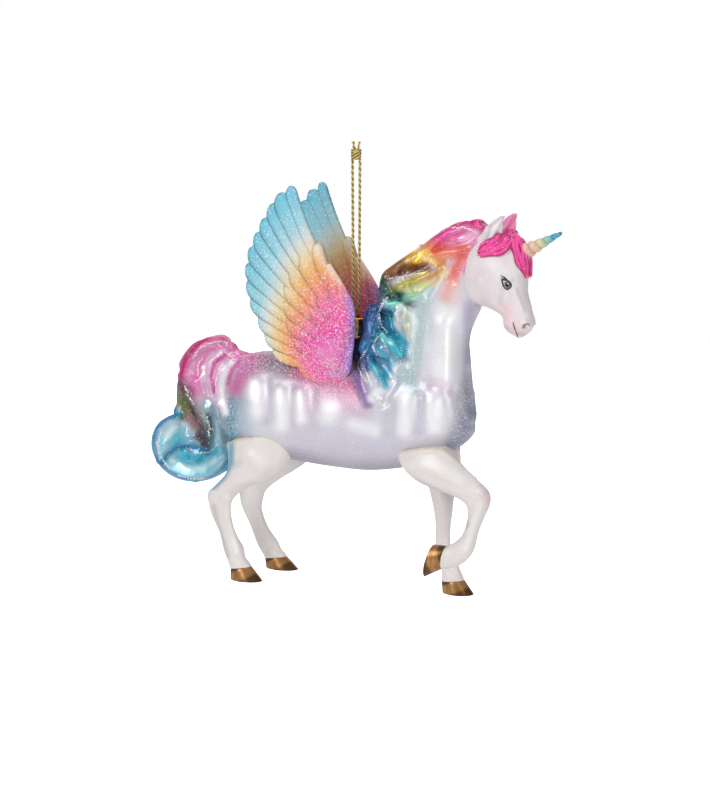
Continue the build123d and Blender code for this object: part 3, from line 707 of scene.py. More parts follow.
MAGENTA, HOT, ROSE, CORAL = (206, 36, 126), (232, 84, 160), (226, 128, 186), (238, 128, 106)
# the first colour here is near-white paint laid down only as painted highlights; LILAC is partly lilac paint
# and partly painted shade under the belly
PAINTED_HIGHLIGHT, LILAC = (250, 249, 251), (200, 188, 210)
TEAL, CYAN, MINT, DEEP = (12, 100, 136), (36, 168, 196), (120, 226, 204), (14, 58, 124)
body_paint = [
    # painted shade: the greys along the belly, on the lower chest's front and along the neck's front edge
    # darken the underside and the edges; the broad lilac under the belly is partly lilac paint and partly
    # painted shade
    ((128, 126, 146), 21, 0.85, 290,462, 340,474, 400,472, 440,462, 462,446),
    ((150, 152, 174), 18, 0.95, 470,386, 468,412, 456,440), (LILAC, 30, 0.4, 300,440, 350,450, 400,448),
    ((176, 168, 190), 13, 0.85, 468,306, 466,350, 470,392),
    ((146, 106, 132), 30, 0.95, 256,358, 276,360, 304,370, 338,386),
    ((208, 92, 146), 19, 0.9, 300,372, 326,380, 352,388),
    # the greys at the end of this line and on the next lie in the ripples' valleys: painted shade
    ((222, 172, 198), 24, 0.7, 306,402, 330,398, 356,404), ((196, 182, 198), 10, 0.6, 264,382, 265,420),
    ((198, 186, 200), 10, 0.6, 288,388, 288,424), ((208, 196, 208), 10, 0.5, 309,396, 310,424),
    # the near-white strokes on this line and the next are painted highlights on the ripples' crowns and the
    # lower flank
    (PAINTED_HIGHLIGHT, 16, 1.0, 252,390, 255,410), (PAINTED_HIGHLIGHT, 14, 1.0, 278,398, 280,424),
    (PAINTED_HIGHLIGHT, 11, 0.95, 297,398, 299,418), (PAINTED_HIGHLIGHT, 20, 1.0, 326,412), (PAINTED_HIGHLIGHT, 12, 0.7, 352,424, 372,430),
    ((212, 104, 168), 17, 0.9, 250,360, 240,374, 233,390),
    ((60, 126, 156), 15, 0.95, 228,404, 229,420, 230,440, 234,470),
    ((150, 178, 196), 18, 0.55, 238,406, 240,430),
    # neck and chest; the near-white strokes are painted highlights on the neck and the chest's bulges, and
    # the greys in the chest's valleys are painted shade
    ((160, 200, 196), 15, 0.6, 424,290, 420,310, 416,340, 408,374),
    ((150, 188, 194), 13, 0.6, 400,372, 412,386), (PAINTED_HIGHLIGHT, 20, 1.0, 445,312, 447,350, 442,386),
    ((212, 188, 210), 14, 0.5, 428,384, 452,392), (PAINTED_HIGHLIGHT, 15, 1.0, 404,402, 403,430),
    (PAINTED_HIGHLIGHT, 15, 1.0, 431,404, 434,428), ((202, 200, 214), 10, 0.7, 418,398, 417,432),
    ((204, 204, 214), 11, 0.7, 388,404, 386,436), ((240, 210, 212), 14, 0.8, 454,276, 450,300),
    # mane, broad tints first so that the crest is coloured from behind and above too
    ((214, 64, 146), 22, 1.0, 478,222, 450,222, 436,232), ((236, 128, 92), 18, 1.0, 426,240, 432,250),
    ((236, 176, 60), 15, 1.0, 412,250, 406,256), ((120, 76, 40), 18, 1.0, 396,258, 380,268),
    ((24, 74, 78), 16, 1.0, 372,282, 368,290), (DEEP, 20, 1.0, 362,300, 354,324, 348,350),
    ((232, 112, 172), 17, 1.0, 480,234, 462,236, 444,240),
    # the pale pinks at the end of this line and the start of the next are painted highlights on the top locks
    (MAGENTA, 10, 1.0, 484,224, 466,221, 448,225, 434,235), ((250, 196, 226), 7, 0.95, 474,234, 462,239),
    ((250, 150, 196), 7, 0.9, 450,238, 441,243), (HOT, 7, 0.9, 448,232, 436,240, 430,247),
    ((214, 140, 186), 4, 0.8, 478,238, 467,252, 462,272), (CORAL, 12, 1.0, 430,248, 444,253, 462,252),
    ((232, 104, 100), 12, 0.95, 462,250, 456,264, 450,278), ((240, 176, 160), 11, 0.8, 448,282, 443,296),
    ((224, 140, 64), 11, 1.0, 440,262, 424,260, 410,264),
    ((252, 196, 30), 9, 1.0, 424,253, 414,259, 408,262), ((252, 224, 160), 5, 0.9, 432,262, 422,258),
    # the dark browns on this line and at the start of the next lie under the gold lock: partly brown paint
    # and partly painted shade on its underside
    ((120, 72, 34), 9, 1.0, 424,269, 410,269, 398,272, 384,277),
    ((150, 100, 50), 10, 1.0, 400,264, 384,272), ((204, 150, 78), 8, 1.0, 440,270, 426,278, 410,283),
    ((244, 222, 170), 6, 0.9, 444,272, 432,284), ((40, 80, 58), 8, 1.0, 380,280, 388,290, 398,296),
    ((206, 178, 84), 6, 0.9, 424,273, 408,280, 396,286),
    ((176, 178, 82), 8, 1.0, 412,282, 400,287, 390,291), ((222, 228, 160), 7, 1.0, 424,284, 408,292),
    ((26, 78, 72), 13, 1.0, 374,278, 378,290, 392,298, 406,301), ((16, 90, 110), 13, 1.0, 374,296, 376,310),
    # the mint stroke at the start of this line is a painted highlight along the lock's ridge
    (MINT, 6, 1.0, 386,305, 393,303, 400,306), ((150, 216, 190), 7, 0.9, 404,298, 414,296),
    (TEAL, 14, 1.0, 382,312, 380,326, 388,340, 396,352),
    ((16, 150, 176), 9, 1.0, 390,312, 388,326, 400,344, 400,356), (CYAN, 6, 0.9, 398,334, 404,344, 401,354),
    ((168, 184, 150), 7, 0.9, 402,310, 407,320, 404,330),
    # a painted highlight along the curl's ridge
    ((232, 240, 236), 6, 0.9, 398,306, 410,314, 412,326, 409,338),
    (DEEP, 17, 1.0, 370,298, 364,316, 360,332, 356,350), ((50, 38, 96), 12, 1.0, 352,344, 356,358, 356,372),
    ((26, 100, 166), 8, 0.95, 372,318, 368,338), (TEAL, 12, 1.0, 376,330, 372,346),
    # painted highlights: the bright cyan on this line and the pale mint on the next
    ((60, 190, 208), 8, 0.9, 381,336, 388,343, 396,352),
    ((150, 236, 224), 4, 0.8, 380,335, 385,341, 390,343),
    ((18, 118, 166), 14, 1.0, 364,348, 374,362, 386,378), ((40, 164, 196), 9, 0.9, 378,350, 392,366),
    ((24, 74, 140), 7, 1.0, 362,354, 366,368), ((48, 182, 204), 7, 0.85, 371,366, 377,374, 384,384),
    # the pale mint at the start of this line is a painted highlight
    ((160, 234, 226), 4, 0.7, 374,366, 378,372), ((138, 116, 172), 9, 0.95, 354,376, 360,390, 366,404),
    # the near-white strokes on this line and the next are painted highlights
    ((246, 247, 249), 8, 0.95, 376,392, 370,398), ((60, 168, 192), 7, 0.9, 386,372, 384,384),
    ((240, 244, 246), 7, 0.9, 394,368, 390,382),
    # tail
    (ROSE, 24, 1.0, 236,354, 216,350, 200,364, 192,388),
    ((238, 204, 224), 15, 1.0, 222,366, 212,384, 217,402),
    ((84, 188, 210), 27, 1.0, 176,440, 184,458, 204,462, 216,446),
    ((150, 180, 194), 15, 0.95, 208,408, 216,426, 220,440),
    (MAGENTA, 10, 1.0, 250,352, 234,341, 220,336, 206,338, 194,346, 184,358, 179,376),
    # this pale pink-white and the near-white two lines down are painted highlights on the folds' ridges
    ((244, 226, 238), 6, 0.95, 222,352, 211,356, 204,367, 202,379),
    ((206, 84, 162), 4, 1.0, 225,353, 213,363, 209,376, 213,392),
    ((250, 246, 250), 6, 1.0, 229,362, 221,376, 219,394, 224,412),
    ((206, 90, 162), 4, 0.9, 238,360, 230,370, 226,384), ((120, 60, 80), 12, 1.0, 178,384, 184,392),
    ((66, 112, 96), 9, 1.0, 170,404, 172,414, 180,416),
    ((84, 62, 62), 14, 1.0, 182,394, 190,410, 200,428, 202,440),
    ((104, 118, 52), 8, 0.95, 176,396, 182,406, 184,416), ((150, 104, 110), 6, 0.9, 186,416, 193,426),
    ((30, 74, 88), 8, 1.0, 207,416, 209,430, 204,446), ((150, 176, 150), 3, 0.8, 200,408, 204,420),
    ((70, 50, 62), 8, 1.0, 198,436, 203,446), ((128, 170, 180), 5, 0.9, 191,439, 196,444),
    ((30, 146, 190), 7, 1.0, 176,414, 166,417, 155,427, 151,442, 154,458, 165,471, 180,479, 195,482, 208,480,
     220,473, 227,462),
    ((122, 206, 222), 4, 0.9, 160,436, 160,452, 168,464, 182,472, 196,474, 210,470),
    ((10, 118, 160), 6, 1.0, 206,452, 190,446, 176,447, 166,454, 160,464),
    # the near-white strokes at the end of this line and on the next are painted highlights on the scroll
    (CYAN, 7, 0.95, 184,456, 198,458), ((220, 244, 245), 7, 0.95, 165,436, 171,427),
    ((204, 236, 240), 6, 0.95, 172,462, 184,469, 200,469, 212,460),
]
paint(body, (217, 215, 223), body_paint)
amount(body, "Glitter", 0.16, [
    (0.9, 22, 240,362, 270,358, 300,368, 340,382), (0.6, 22, 300,392, 350,400), (0.8, 16, 226,402, 232,440),
    (0.85, 18, 410,350, 404,376, 412,390), (0.6, 20, 462,390, 456,440), (0.55, 16, 424,290, 418,330),
    (0.15, 14, 392,330, 374,340), (0.3, 26, 190,450),
])
amount(body, "Gloss", 0.0, [(1.0, 30, 470,236, 430,255, 392,286, 376,330, 372,380),
                            (1.0, 40, 216,360, 200,400, 190,450)])
dress(body, glass_paint, stands_for=("glass_body",))

# ---- legs and hooves; a rim is the edge that the glass has over the leg, in the picture ----
rims = {
    "hind_right": [(200, 470), (226, 442), (236, 438), (256, 436), (272, 438), (283, 445), (296, 462)],
    "front_right": [
        (384, 464), (392, 454), (400, 450), (420, 448), (440, 448), (448, 453), (458, 460), (474, 474)],
    "front_left": [(360, 456), (400, 450), (430, 450), (448, 458)],
}
# in these strokes the greys are painted shade along the legs' back edges and tops and the far leg's edges,
# and the near-white strokes are painted highlights on the tendons and bumps
leg_paint = {
    "hind_right": [
        ((206, 200, 204), 7, 0.6, 212,486, 222,470, 238,462),
        ((196, 188, 190), 5, 0.7, 212,506, 218,530, 226,556),
        ((244, 240, 236), 5, 0.8, 226,496, 230,524, 236,552), ((238, 234, 230), 8, 0.7, 246,452, 262,462),
        ((84, 164, 192), 6, 0.85, 230,440, 229,462, 222,476, 212,486)],
    "hind_left": [
        ((182, 178, 186), 12, 0.8, 292,466, 270,486, 256,500),
        ((168, 168, 178), 5, 0.8, 242,500, 250,524, 262,548)],
    "front_left": [
        ((190, 182, 184), 6, 0.8, 428,480, 434,510, 436,556), ((242, 238, 234), 5, 0.7, 444,500, 446,548)],
    "front_right": [
        ((240, 236, 230), 10, 0.7, 400,466, 430,462, 456,478),
        ((196, 188, 190), 7, 0.75, 414,482, 440,496, 456,506, 464,524),
        ((220, 196, 196), 7, 0.7, 480,486, 486,500), ((244, 240, 236), 5, 0.8, 478,504, 470,530, 464,548)],
}
leg_relief = {
    "hind_right": [
        (0.35, 5, 224,500, 232,530, 236,552), (-0.3, 4, 218,500, 226,530), (0.4, 5, 211,492),
        (0.5, 9, 248,456, 262,470)],
    "hind_left": [(0.3, 4, 252,500, 262,530)],
    "front_left": [(0.3, 4, 436,500, 440,540)],
    "front_right": [
        (0.5, 7, 480,492), (0.35, 8, 420,466, 448,476), (-0.3, 6, 432,480, 462,490),
        (0.3, 4, 474,506, 466,536)],
}
for name, rows in leg_rows.items():
    box = HIND if "hind" in name else FORE
    side = 1 if "left" in name else -1
    rim = np.array(rims.get(name, rims["hind_right"]), float)
    leg = fuse(name + "_leg_cast", [loft(box, LIMB_BROAD, rows, side, around=40)], voxel=0.3, smooth=5)
    co, at = places(leg), in_picture(places(leg))
    limit = np.interp(at[:, 0], rim[:, 0], rim[:, 1]) + 0.9 * np.abs(np.sin(at[:, 0] / 3.1))
    over = np.clip(limit - at[:, 1], 0, None)
    co[:, 1] -= side * np.clip(over / 3.5, 0, 1) * 3.0
    co[:, 2] -= over * PER_PIXEL * 0.85
    move_to(leg, co)
    carve(leg, leg_relief[name] + [(0.25, 4, *(rim + [0, 3]).ravel())])
    paint(leg, (231, 224, 220), leg_paint[name] + [((222, 206, 180), 2.6, 0.8, *(rim + [0, 1.5]).ravel())])
    amount(leg, "Glitter", 0.3, [])
    dress(leg, resin_paint, stands_for=(name + "_leg",))
    top, sole = np.array(hoof_rows[name])
    rows = [top * [1, 1, 1, 1, 0.94, 1]] + [top + (sole - top) * share for share in (0.12, 0.5, 0.9)] + [sole]
    verts, faces = loft(box, LIMB_BROAD, rows, side, per=5, around=44, ends=0.02)
    hoof = piece(name + "_hoof_shell", verts, faces)
    co = places(hoof)
    co[:, 2] = np.maximum(co[:, 2], GROUND + 0.02)
    move_to(hoof, co)
    low_end = np.array(spot(box, *((sole[0:2] + sole[2:4]) / 2)))
    high_end = np.array(spot(box, *((top[0:2] + top[2:4]) / 2)))
    down = low_end - high_end
    share = ((co[:, [0, 2]] - high_end) @ down) / (down @ down)
    put_value(hoof, "Edge", np.clip(np.abs(share - 0.5) * 2 - 0.62, 0, 0.3) / 0.3 * 0.85)
    dress(hoof, bronze)

# ---- head, horn ----
ears = [loft(HEAD, LIMB_BROAD, ear_rows, side, per=8, around=32, ends=0.5) for side in (-1, 1)]
skull = loft(HEAD, LIMB_BROAD, head_rows, ends=0.5)
head = fuse("head_cast", [skull, *ears], voxel=0.25, smooth=4)
carve(head, [
    (-0.5, 7, 503,284), (0.35, 5, 498,277, 508,279), (0.4, 8, 478,284, 484,296),
    (-0.45, 6, 496,300, 502,312), (-0.5, 3, 522,326, 525,325), (0.35, 3.5, 519,326, 523,321, 528,325),
    (-0.3, 3, 512,323, 515,334), (0.25, 4, 518,331, 524,333), (0.4, 5, 512,290, 520,310),
    (-0.9, 4, 495,236, 500,226, 504,220),
])
paint(head, (234, 225, 226), [
    ((224, 204, 214), 14, 0.6, 480,272, 484,296), ((240, 204, 208), 12, 0.7, 503,308, 514,328),
    ((242, 234, 232), 9, 0.7, 490,262, 500,270), ((210, 202, 208), 5, 0.5, 500,290, 498,304),
    # the grey at the end of this line, in the ear's hollow, is painted shade; the darker grey on the next
    # line runs along the ear's rim
    ((242, 228, 232), 7, 0.6, 516,300, 524,322), ((206, 198, 200), 3.5, 0.8, 497,240, 501,228, 506,219),
    ((186, 180, 184), 2.5, 0.8, 484,240, 489,226, 500,217, 505,218),
    ((226, 190, 200), 4, 0.8, 492,322, 530,338), ((150, 120, 130), 2, 0.7, 523,327),
])
amount(head, "Glitter", 0.35, [])
EAR_FOOT = -22.5
co, facing = places(head), normals(head)
inner = np.clip(-facing[:, 1] * np.sign(co[:, 1]) * 1.5, 0, 1) * np.clip((co[:, 2] - EAR_FOOT) / 2, 0, 1)
inner = inner * np.clip((np.abs(co[:, 1]) - 2.2) / 0.8, 0, 1) * (co[:, 1] > 0)
layer = head.data.color_attributes["Paint"]
old = fetch(layer.data, "color", 4)
old[:, :3] = old[:, :3] * (1 - inner[:, None]) + linear((238, 130, 182)) * inner[:, None]
layer.data.foreach_set("color", old.ravel())
dress(head, resin_paint, stands_for=("head",))

horn_x, horn_z = spot(HEAD, 0.87, 0.78)
HORN_LONG, HORN_ROOT, HORN_TIP, HORN_TURNS, HORN_LEAN = 12.6, 4.6, 0.9, 5.2, 28
SMOOTH_BULGE, RIDGE = 0.84, 0.24
lean = math.radians(HORN_LEAN)
horn_way = np.array([math.cos(lean), 0, math.sin(lean)])
horn_up = np.array([-math.sin(lean), 0, math.cos(lean)])
rings, share_list = [], []
for t in np.linspace(0, 1, 150):
    wide = (HORN_ROOT * (1 - t) + HORN_TIP * t) / 2
    a = turned(36)
    twist = 2 * math.pi * HORN_TURNS * t ** 0.92
    bulge = SMOOTH_BULGE + RIDGE * np.sqrt(0.5 + 0.5 * np.cos(a - twist))
    if t > 0.94:
        bulge = bulge * math.sqrt(max(1 - ((t - 0.94) / 0.06) ** 2, 0.02))
    centre = np.array([horn_x, 0, horn_z]) + horn_way * HORN_LONG * t
    rings.append(centre + (wide * bulge)[:, None] * (
        np.cos(a)[:, None] * np.array([0, 1, 0]) + np.sin(a)[:, None] * horn_up))
    share_list.append((t, 1 - np.clip((bulge - SMOOTH_BULGE) / RIDGE, 0, 1)))
horn = piece("horn_cast", *skin(rings))
t = np.repeat([s for s, _ in share_list], 36)
groove_shade = np.concatenate([c for _, c in share_list])
stops = np.array([0, 0.2, 0.42, 0.62, 0.78, 1.0])
tints = linear([(232, 172, 170), (234, 190, 170), (226, 208, 164), (150, 200, 178), (60, 168, 196),
                (44, 152, 192)])
# the spiral's grooves are darkened: painted shade in the horn's creases
put_colour(horn, between(t, stops, tints) * (1 - 0.35 * groove_shade[:, None] ** 2))
put_value(horn, "Glitter", np.full(len(t), 0.4))
dress(horn, resin_paint, stands_for=("horn",))


# ---- painted face, laid on the head's own surface ----
def surface_of(thing):
    co = places(thing)
    return BVHTree.FromPolygons([tuple(c) for c in co], [tuple(p.vertices) for p in thing.data.polygons])


def onto(tree, x, y, lift=0.04):
    """The place on a surface that shows at this point of the picture, and the surface's direction."""
    way = -BACK + RIGHT * (x - MIDDLE[0]) * PER_PIXEL / DISTANCE - UP * (y - MIDDLE[1]) * PER_PIXEL / DISTANCE
    start = EYE + np.array([AHEAD, 0, 0])
    hit, normal, _, _ = tree.ray_cast(Vector(start), Vector(way))
    if hit is None:
        raise ValueError(f"nothing at {x}, {y}")
    return np.array(hit) + np.array(normal) * lift, np.array(normal)


head_surface = surface_of(head)


def hair(x, y, lift):
    """A place over the head's surface, taken back to its edge where the picture's point lies past it."""
    for _ in range(30):
        try:
            return onto(head_surface, x, y, lift)
        except ValueError:
            x -= 0.6
    raise ValueError("no head there")


def mirrored(made):
    verts, faces = made
    return together([made, ([(v[0], -v[1], v[2]) for v in verts], [tuple(reversed(f)) for f in faces])])


def patch(outline, lift):
    """A thin raised patch of paint with the given outline."""
    line = np.reshape(outline, (-1, 2))
    line = through(np.vstack([line, line[:1]]), 4)[:-1]
    centre = line.mean(0)
    rows = [centre + (line - centre) * s for s in (0.02, 0.35, 0.7, 1.0)]
    front = [np.array([onto(head_surface, *p, lift)[0] for p in row]) for row in rows]
    rear = [np.array([onto(head_surface, *p, -0.12)[0] for p in rows[-1]])]
    rear.append(np.array([onto(head_surface, *p, -0.12)[0] for p in rows[0]]))
    return skin(front + rear)


def stroke(line, widths, lift=0.07):
    points = [onto(head_surface, x, y, lift)[0] for x, y in np.reshape(line, (-1, 2))]
    return tube(points, widths, flat=0.8, around=8, per=4, out=(0.3, -1, 0.1))


lobe_path = np.array([(507, 231), (503, 240), (495, 245), (486, 249), (478, 255)], float)
brow_path = np.array([(508, 232), (513, 241), (517, 252), (520, 263), (523.4, 278)], float)
strands, shade = [], []
for path_line, breadths, count in ((lobe_path, (2.5, 6.5, 7.5, 6.5, 2.5), 9),
                                   (brow_path, (3, 5.0, 5.0, 3.6, 0.3), 7)):
    lean_way = np.gradient(path_line, axis=0)
    cross = np.column_stack([-lean_way[:, 1], lean_way[:, 0]]) / np.hypot(*lean_way.T)[:, None]
    for layer, lift, thick in ((0, 0.25, 0.85), (1, 0.75, 0.5)):
        for k in range(count - 3 * (1 - layer)):
            total = count - 3 * (1 - layer) - 1
            t = 2 * k / total - 1
            sway = 1.1 * np.sin(2.4 * np.arange(5) + 2.3 * k) * np.array([0, 0.7, 1, 1, 0.8])
            line = path_line + cross * (t * np.array(breadths) + sway)[:, None]
            line[-1] += lean_way[-1] * rng.uniform(-0.35, 0.12)
            found = [hair(x, y, lift + 0.35 * (1 - t * t)) for x, y in line]
            out_way = np.mean([n for _, n in found], axis=0)
            radii = thick * np.array([0.75, 1, 1, 0.85, 0.28]) * rng.uniform(0.85, 1.1)
            made = tube([p for p, _ in found], radii, flat=0.9, around=12, per=6, out=out_way)
            strands.append(made)
            height = np.sin(np.tile(turned(12), len(made[0]) // 12))
            shade.append(np.clip(0.45 + 0.55 * np.abs(height) + 0.1 * layer, 0, 1) * (0.75 + 0.25 * layer))
fringe = piece("forelock_carved", *mirrored(together(strands)))
shade = np.tile(np.concatenate(shade), 2)[:, None]
put_colour(fringe, linear((250, 78, 164)) * shade ** 1.5 + linear((150, 8, 84)) * (1 - shade ** 1.5))
put_value(fringe, "Glitter", np.full(len(shade), 0.3))
dress(fringe, resin_paint)

eye_outline = [498.6,277.6, 502.5,278.6, 507,280.4, 509.8,284, 509.2,287.6, 506,289.4, 502.6,288, 500.4,284.6]
inner_eye = [500.9,280.4, 504.5,280.8, 508,283, 508.6,286.2, 506,288.2, 502.8,286.8]
iris = [503,281.3, 506.4,281, 508.6,283.4, 508.2,286.6, 505.6,288, 503.2,286.6, 502.3,283.8]
pupil = [504,282.6, 506.4,282.4, 507.5,284.6, 506.2,286.6, 504,286]
glint = [505.4,282.6, 506.9,283, 506.8,284.1, 505.4,283.8]
for name, outline, lift, look in (
        ("eye_outlines", eye_outline, 0.05, ink), ("eye_whites", inner_eye, 0.10, eye_white),
        ("eye_irises", iris, 0.13, iris_grey), ("eye_pupils", pupil, 0.16, ink),
        ("eye_glints", glint, 0.19, eye_white)):
    dress(piece(name, *mirrored(patch(outline, lift))), look)
lines = together([
    stroke([509.8,285, 503,277.8, 498.2,275.6], [0.10, 0.22, 0.06]),
    stroke([500.4,284.6, 503.2,288.6, 507,290], [0.06, 0.14, 0.05]),
    stroke([511,322, 512.6,328, 516,336.4], [0.08, 0.16, 0.12]),
    stroke([521,328.6, 522.4,324.8, 526,323.6, 528,326], [0.10, 0.16, 0.14, 0.06]),
])
dress(piece("face_lines", *mirrored(lines)), ink)

# ---- wings ----
feather_rows = [
    (hundredths(
        (4, 37, -50, 99), (4, 34, -61, 95), (4, 31, -70, 89), (4, 28, -79, 81), (3, 25, -87, 73),
        (2, 22, -94, 65), (1, 19, -98, 56), (0, 16, -98, 47), (-1, 13, -95, 38), (-2, 10, -88, 28),
        (-4, 7, -82, 20), (-5, 5, -74, 12)), 0.13, 0.20, 0.34),
    (hundredths(
        (6, 30, -25, 70), (6, 28, -39, 64), (5, 25, -51, 56), (4, 21, -58, 47), (2, 17, -60, 38),
        (0, 13, -58, 29), (-2, 9, -53, 20), (-4, 5, -46, 11)), 0.15, 0.22, 0.60),
    (hundredths(
        (7, 24, -9, 53), (6, 22, -22, 46), (4, 18, -31, 38), (2, 14, -35, 29), (0, 10, -35, 20),
        (-3, 6, -32, 11)), 0.16, 0.23, 0.84),
]
shoulder_rows = hundredths(
    (-40, -4, -6, -5, 30), (-50, 4, 5, 3, 42), (-46, 12, 8, 12, 48), (-32, 22, 11, 24, 48),
    (-20, 34, 11, 37, 42), (-18, 46, 3, 47, 34), (-20, 58, -11, 59, 22))


def feather(row, root_wide, tip_wide, thick, roll, first):
    """One blade, crowned on both faces, with each vertex's nearness to the edge and its place on it."""
    root, tip = np.array(spot(WING, *row[0:2])), np.array(spot(WING, *row[2:4]))
    along = (tip - root) / np.hypot(*(tip - root))
    across = np.array([-along[1], along[0]])
    length = np.hypot(*(tip - root))
    bend = 0.05 * length
    if first:
        root_wide, tip_wide = 0.75 * root_wide, 0.62 * tip_wide
    section = [(v, 1) for v in np.linspace(-1, 1, 11)] + [(v, -1) for v in np.linspace(0.8, -0.8, 9)]
    rings, edge, marks = [], [], []
    for u in np.sin(np.linspace(0, 1, 34) * math.pi / 2) ** 0.8:
        wide = (root_wide + (tip_wide - root_wide) * u) / 2
        left = (1 - u) * length
        if left < tip_wide * 0.62:
            wide *= math.sqrt(max(1 - (1 - left / (tip_wide * 0.62)) ** 2, 0.003))
        middle = root + along * length * u + across * bend * (1 - (2 * u - 1) ** 2)
        thinner = 0.45 + 0.55 * min(1, left / (tip_wide * 0.8) + 0.15)
        ring = []
        for v, face in section:
            crown = thick / 2 * (0.30 + 0.70 * math.sqrt(max(1 - abs(v) ** 2.4, 0)))
            crown *= (1 - 0.10 * math.exp(-(v / 0.14) ** 2)) * thinner
            place = middle + across * wide * v
            ring.append((place[0], face * crown + math.sin(roll) * wide * v, place[1]))
            edge.append(max(abs(v) ** 5, 1 - min(1, left / 0.7)) if left > 0.02 else 1)
            marks.append((length * u, wide * v))
        rings.append(ring)
    return skin(rings), edge, marks


def wing(side, name, lean_angle, sweep):
    made, edges, marks = [], [], []
    verts, faces = loft(WING, WING_THICK, shoulder_rows, per=5, around=40, ends=0.3)
    made.append((verts, faces))
    edges.extend([0.0] * len(verts))
    marks.extend([(0.0, 0.0)] * len(verts))
    for feathers, root_share, tip_share, thick_share in feather_rows:
        for order, row in enumerate(feathers):
            part, edge, mark = feather(row, root_share * WING[2], tip_share * WING[2],
                                       thick_share * WING_THICK, math.radians(7), order == 0)
            made.append(part)
            edges.extend(np.sqrt(edge) if tip_share > 0.2 else edge)
            marks.extend(mark)
    verts, faces = together(made)
    co = np.array(verts)
    foot = np.array([WING[0], WING[1]])
    swing = np.array([[math.cos(sweep), -math.sin(sweep)], [math.sin(sweep), math.cos(sweep)]])
    co[:, [0, 2]] = foot + (co[:, [0, 2]] - foot) @ swing.T
    lean = math.radians(lean_angle)
    y, z = co[:, 1].copy(), co[:, 2] - WING[1]
    co[:, 1] = 9.0 + y * math.cos(lean) + z * math.sin(lean)
    co[:, 2] = WING[1] - y * math.sin(lean) + z * math.cos(lean)
    co[:, 1] *= side
    if side < 0:
        faces = [tuple(reversed(f)) for f in faces]
    return piece(name, co, faces), np.array(marks), np.array(edges)


def wing_colour(thing, edge):
    at = in_picture(places(thing))
    pivot = np.array([345.0, 345.0])
    away = at - pivot
    far = np.hypot(*away.T)
    angle = np.degrees(np.arctan2(-away[:, 1], -away[:, 0]))      # 0 points back, 90 up
    reach = np.interp(angle, [-20, 0, 20, 40, 57, 72, 90], [66, 78, 102, 127, 150, 171, 172])
    shift = np.interp(angle, [-20, 0, 20, 40, 57, 72, 90], [-0.38, -0.30, -0.12, 0.0, 0.0, 0.02, 0.05])
    q = np.clip(far / reach + shift, 0, 1.02)
    stops = [0.0, 0.16, 0.30, 0.42, 0.52, 0.62, 0.71, 0.80, 1.0]
    tints = linear([(232, 104, 184), (238, 74, 164), (240, 104, 160), (242, 144, 112), (242, 180, 104),
                    (234, 214, 164), (214, 222, 216), (160, 214, 226), (112, 196, 220)])
    colour = between(q, stops, tints)
    colour = covered(colour, at, [
        ((146, 122, 210), 15, 0.95, 352,294, 355,318, 354,346, 350,366),
        ((196, 150, 206), 9, 0.7, 330,374, 346,374), ((238, 150, 186), 10, 0.5, 318,352, 332,366),
        ((240, 226, 214), 9, 0.6, 316,246, 326,262, 338,280),
    ])
    # the feather edges are darkened: painted shade in the lines between the feathers; on the coverts these
    # lines are partly gold paint and partly painted shade
    inner = np.clip((0.68 - q) / 0.1, 0, 1)[:, None]
    line_tint = colour * 0.45 * (1 - inner) + (colour * 0.35 + linear((196, 120, 50)) * 0.3) * inner
    return colour * (1 - edge[:, None]) + line_tint * edge[:, None], q


for side, name, lean_angle, sweep in ((-1, "right_wing", 4.0, 0.0), (1, "left_wing", 2.0, 0.05)):
    thing, marks, edge = wing(side, name + "_cast", lean_angle, sweep)
    put_value(thing, "Along", marks[:, 0])
    put_value(thing, "Across", marks[:, 1])
    colour, q = wing_colour(thing, edge)
    put_colour(thing, colour)
    put_value(thing, "Glitter", np.interp(q, [0, 0.35, 0.6, 1.0], [1.0, 0.95, 0.7, 0.4]) * (1 - 0.6 * edge))
    dress(thing, wing_paint, stands_for=(name,))


# ---- loose glitter: lines piped on the glass, and flakes ----
GLASS_FLAKES, WING_FLAKES = 3500, 3600


def flakes_at(spots, sizes, tints, name, slot):
    """Small six-sided plates lying on the surface, each turned its own way."""
    verts, faces, colours = [], [], []
    for (place, normal), size, tint in zip(spots, sizes, tints):
        n = Vector(normal + rng.normal(0, 0.35, 3)).normalized()
        a = n.orthogonal().normalized()
        b = n.cross(a)
        start, spin = len(verts), rng.uniform(0, math.pi)
        for height in (0.04, -0.06):
            for k in range(6):
                angle = spin + k * math.pi / 3
                rim = a * size * math.cos(angle) + b * size * math.sin(angle)
                verts.append(Vector(place) + rim + n * height)
                colours.append(tint)
        faces.append(tuple(range(start, start + 6)))
        faces.append(tuple(range(start + 11, start + 5, -1)))
        for k in range(6):
            k2 = (k + 1) % 6
            faces.append((start + k, start + 6 + k, start + 6 + k2, start + k2))
    thing = piece(name, [tuple(v) for v in verts], faces, smooth=False)
    put_colour(thing, np.array(colours))
    return dress(thing, flake)


